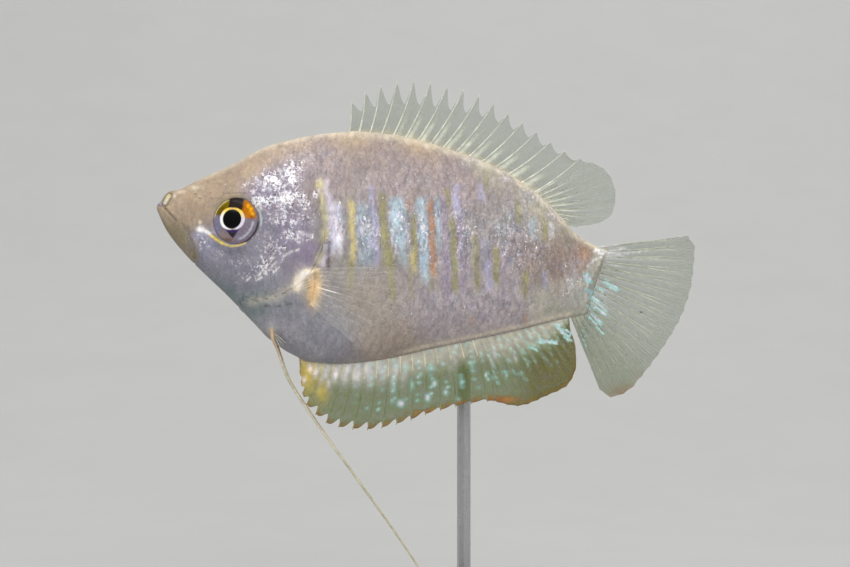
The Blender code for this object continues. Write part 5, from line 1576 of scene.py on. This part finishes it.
# Display colours from 0 to 255, as (name, description, red, green, blue)
COLOURS = (
    ("snout", "Tan skin of snout and jaw", 177, 155, 127),
    ("jaw", "Brown lower jaw", 137, 125, 95),
    ("back", "Tan skin along the back", 192, 170, 142),
    # cream is the skin's pale colour, and also the painted highlights on the snout's top edge, the
    # nostrils' upper rims and the pectoral fold, and the painted glints along the dorsal root.
    ("cream", "Light edge of the back and the lip", 232, 220, 194),
    ("cheek", "Lilac grey cheek", 130, 129, 140),
    ("cover", "Silver lilac gill cover", 138, 128, 148),
    ("throat", "Grey throat", 119, 131, 132),
    ("belly", "Smooth grey belly", 147, 147, 154),
    ("belly_warm", "Brown grey belly", 161, 148, 135),
    ("upper_flank", "Tan grey upper flank", 164, 149, 142),
    ("flank", "Silver flank", 150, 145, 138),
    ("lower_flank", "Mauve lower flank", 169, 160, 159),
    ("stalk", "Olive brown tail stalk", 148, 134, 116),
    ("stalk_top", "Green grey behind the dorsal fin", 178, 174, 150),
    ("stalk_low", "Grey green below the smudge", 176, 174, 158),
    # smudge also serves as painted shade in the nostril pits.
    ("smudge", "Brown smudge before the tail", 142, 121, 110),
    ("gold_band", "Yellow bands", 222, 206, 134),
    ("gold_rim", "Yellow cream line of the gill rim", 222, 214, 158),
    ("olive_band", "Olive bands", 156, 152, 88),
    ("rust_band", "Orange brown bands", 188, 138, 94),
    ("pale_band", "White lilac bands", 238, 238, 250),
    ("blue_band", "Pale blue bands", 172, 203, 211),
    ("violet_band", "Periwinkle bands", 176, 178, 216),
    ("mauve_band", "Mauve bands", 160, 144, 166),
    # glitter and spark: bright pink silver and white, mostly for painted glints and highlights on the
    # silvery skin; spark also whitens marks by the eye and on fin rays.
    ("glitter", "Bright pink silver", 246, 236, 238),
    ("spark", "White sparks", 255, 254, 252),
    ("aqua", "Cool tint of the pearly skin", 186, 200, 214),
    ("rose", "Warm tint of the pearly skin", 200, 182, 190),
    ("turquoise", "Shining spots on tail root and fins", 170, 224, 218),
    ("pale_aqua", "Pale blue green light", 204, 228, 226),
    ("lilac_white", "White tinged with lilac", 226, 218, 232),
    ("ring_gold", "Orange yellow top of the pupil's ring", 236, 190, 100),
    ("lip_pale", "Pale upper lip", 208, 208, 188),
    ("lip_line", "Dark olive lines beside the upper lip", 92, 96, 62),
    # dark: painted shade in creases, slits, pits and gaps, and the skin's own pepper and dark marks.
    ("dark", "Creases and pepper", 62, 54, 58),
    ("scale_edge", "Rim of each scale", 128, 118, 118),
    ("yellow", "Ring of the pupil and line below the eye", 250, 222, 96),
    ("pectoral", "Yellow orange root of the pectoral fin", 240, 206, 152),
    ("pupil", "Black pupil", 8, 7, 9),
    ("iris_olive", "Olive yellow front of the iris", 108, 86, 0),
    ("iris_orange", "Orange rear of the iris", 246, 172, 20),
    ("iris_brown", "Orange brown rear of the iris", 186, 112, 6),
    ("iris_black", "Dark top and wedge of the iris", 34, 26, 18),
    ("iris_indigo", "Indigo under the pupil", 40, 12, 110),
    ("iris_silver", "Silver lilac lower iris", 132, 122, 138),
    ("ray", "Pale fin rays", 236, 238, 222),
    ("fin_pale", "Pale skin at the roots of fins", 196, 192, 176),
    ("fin_grey", "Grey green skin of dorsal and tail fin", 118, 130, 106),
    ("fin_clear", "Nearly clear skin of the pectoral fin", 214, 210, 200),
    ("fin_olive", "Olive skin of the anal fin", 108, 122, 72),
    ("fin_rear", "Brown olive rear lobe", 106, 100, 40),
    ("fin_gold", "Gold front of the anal fin", 224, 198, 96),
    ("fin_edge", "Orange edge of the anal fin", 168, 106, 46),
    ("feeler", "Pale feelers", 206, 198, 172),
    ("wood", "Dark stained wood", 58, 40, 30),
    ("wood_light", "Lighter grain of the wood", 98, 68, 46),
    ("steel", "Brushed steel rod", 196, 196, 200),
    ("floor", "Pale studio floor", 204, 205, 203),
)


class GouramiColours(bpy.types.PropertyGroup):
    __annotations__ = {row[0]: colour_property(*row) for row in COLOURS}


class GOURAMI_OT_skin(bpy.types.Operator):
    """Builds the seamless skin with its lips, orbits, gill rims and fleshy fin roots"""

    bl_idname = "gourami.skin"
    bl_label = "Skin"

    def execute(self, context):
        build_skin(context.scene.gourami_sizes, context.scene.gourami_colours)
        return {"FINISHED"}


class GOURAMI_OT_scales(bpy.types.Operator):
    """Builds the overlapping scales of trunk, tail stalk and head"""

    bl_idname = "gourami.scales"
    bl_label = "Scales"

    def execute(self, context):
        sizes, colours = context.scene.gourami_sizes, context.scene.gourami_colours
        material = flesh_material("pearly_scales", colours, True)
        trunk, head = side_table(False, sizes), side_table(True, sizes)
        lift = sizes.scale_lift / MM
        for name, side in SIDES:
            build_scales("scales_" + name, side, trunk, scaly_skin, (8.0, 52.4), sizes, colours, lift,
                         material)
            build_scales("head_scales_" + name, side, head, scaly_head, (5.0, 19.5), sizes, colours,
                         lift * 0.5, material)
        return {"FINISHED"}


class GOURAMI_OT_eyes(bpy.types.Operator):
    """Builds both eyes with pupil, bright ring and painted iris"""

    bl_idname = "gourami.eyes"
    bl_label = "Eyes"

    def execute(self, context):
        material = eye_material()
        for name, side in SIDES:
            build_eye("eye_" + name, side, context.scene.gourami_colours, material)
        return {"FINISHED"}


class GOURAMI_OT_fins(bpy.types.Operator):
    """Builds the dorsal, anal, tail and pectoral fins, skin and rays"""

    bl_idname = "gourami.fins"
    bl_label = "Fins"

    def execute(self, context):
        looks = (context.scene.gourami_colours, fin_material("fin_skin"), fin_material("fin_rays", 0.35))
        for build in (build_dorsal, build_anal, build_caudal):
            build(*looks)
        for name, side in SIDES:
            build_pectoral("pectoral_fin_" + name, side, *looks)
        return {"FINISHED"}


class GOURAMI_OT_feelers(bpy.types.Operator):
    """Builds the long pelvic feelers and the short rays beside them"""

    bl_idname = "gourami.feelers"
    bl_label = "Feelers"

    def execute(self, context):
        bone = fin_material("feeler_skin", 0.4)
        for name, side in SIDES:
            build_feeler("pelvic_thread_" + name, side, context.scene.gourami_sizes,
                         context.scene.gourami_colours, bone)
        return {"FINISHED"}


class GOURAMI_OT_stand(bpy.types.Operator):
    """Finishes the stand's wooden base and steel rod"""

    bl_idname = "gourami.stand"
    bl_label = "Stand"

    def execute(self, context):
        colours = context.scene.gourami_colours
        for node, material in (("stand_base", wood_material(colours)),
                               ("stand_rod", steel_material(colours))):
            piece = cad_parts[node]
            piece.data.materials.clear()
            piece.data.materials.append(material)
        return {"FINISHED"}


CAMERA_DISTANCE = 271.5 * MM
CAMERA_LENS = 100.0
CAMERA_BACK, CAMERA_UP = 30.8, -9.1


def area_light(name, spot, size, power, aim=(26.0, 0.0, -5.0)):
    """A rectangular soft light that faces a place on the fish, or near it."""
    lamp = bpy.data.lights.new(name, "AREA")
    lamp.shape = "RECTANGLE"
    lamp.size, lamp.size_y = size
    lamp.energy = power
    light = bpy.data.objects.new(name, lamp)
    bpy.context.scene.collection.objects.link(light)
    light.location = spot
    facing = Vector(place(*aim).tolist()) - Vector(spot)
    light.rotation_euler = facing.to_track_quat("-Z", "Y").to_euler()


def build_backdrop(colours):
    """A floor that sweeps up into a wall through a wide quarter circle."""
    width, depth, turn = 2.0, 0.08, 0.8
    arc = np.linspace(0, np.pi / 2, 48)
    line = np.concatenate([[[-1.4, 0.0]], np.stack([depth + turn * np.sin(arc),
                                                    turn * (1 - np.cos(arc))], 1),
                           [[depth + turn, 1.8]]])
    x = np.linspace(-width, width, 9)
    points = np.stack([np.broadcast_to(x, (len(line), 9)), np.repeat(line[:, :1], 9, 1),
                       np.repeat(line[:, 1:], 9, 1)], -1)
    sweep = mesh_piece("backdrop", points, grid_faces(len(line), 9))
    mat = Shading("pale_backdrop", roughness=0.95)
    paper = mat.grey(mat.noise(mat.where, 0.02, 3.0), 0.2, 0.8, 0.985, 1.015)
    mat.feed("Base Color", mat.mix(1.0, linear(colours.floor), paper, "MULTIPLY"))
    sweep.data.materials.append(mat.material)


class GOURAMI_OT_stage(bpy.types.Operator):
    """Sets up the pale floor and backdrop, the soft lights and the camera"""

    bl_idname = "gourami.stage"
    bl_label = "Stage"

    def execute(self, context):
        build_backdrop(context.scene.gourami_colours)
        area_light("key_light", (-0.16, -0.30, 0.36), (0.22, 0.16), 0.76)
        area_light("fill_light", (0.24, -0.66, 0.34), (0.56, 0.4), 2.0)
        area_light("rear_light", (0.1, 0.62, 0.72), (0.4, 0.4), 1.4)
        area_light("sky_light", (0.0, 0.1, 2.4), (2.0, 1.4), 14.0)
        world = bpy.data.worlds.new("studio")
        world.use_nodes = True
        world.node_tree.nodes["Background"].inputs["Color"].default_value = (1.0, 0.98, 0.96, 1.0)
        world.node_tree.nodes["Background"].inputs["Strength"].default_value = 0.32
        context.scene.world = world

        lens = bpy.data.cameras.new("camera")
        lens.lens = CAMERA_LENS
        lens.clip_start, lens.clip_end = 0.01, 20.0
        camera = bpy.data.objects.new("camera", lens)
        context.scene.collection.objects.link(camera)
        spot = place(CAMERA_BACK, 0.0, CAMERA_UP)
        camera.location = (spot[0], -CAMERA_DISTANCE, spot[2])
        camera.rotation_euler = (math.pi / 2, 0.0, 0.0)
        context.scene.camera = camera
        context.scene.view_settings.view_transform = "Standard"
        return {"FINISHED"}


STEPS = (GOURAMI_OT_skin, GOURAMI_OT_scales, GOURAMI_OT_eyes, GOURAMI_OT_fins, GOURAMI_OT_feelers,
         GOURAMI_OT_stand, GOURAMI_OT_stage)


class GOURAMI_PT_panel(bpy.types.Panel):
    """Lists the builders and the settings"""

    bl_label = "Dwarf gourami"
    bl_idname = "GOURAMI_PT_panel"
    bl_space_type = "VIEW_3D"
    bl_region_type = "UI"
    bl_category = "Gourami"

    def draw(self, context):
        layout = self.layout
        for step in STEPS:
            layout.operator(step.bl_idname)
        for settings in (context.scene.gourami_sizes, context.scene.gourami_colours):
            box = layout.box()
            for name in settings.__annotations__:
                box.prop(settings, name)


CLASSES = (GouramiSizes, GouramiColours, *STEPS, GOURAMI_PT_panel)


def register():
    for cls in CLASSES:
        bpy.utils.register_class(cls)
    bpy.types.Scene.gourami_sizes = bpy.props.PointerProperty(type=GouramiSizes)
    bpy.types.Scene.gourami_colours = bpy.props.PointerProperty(type=GouramiColours)


def unregister():
    del bpy.types.Scene.gourami_colours
    del bpy.types.Scene.gourami_sizes
    for cls in reversed(CLASSES):
        bpy.utils.unregister_class(cls)


def main():
    register()
    for name in ("skin", "scales", "eyes", "fins", "feelers", "stand", "stage"):
        getattr(bpy.ops.gourami, name)()


if __name__ == "__main__":
    main()
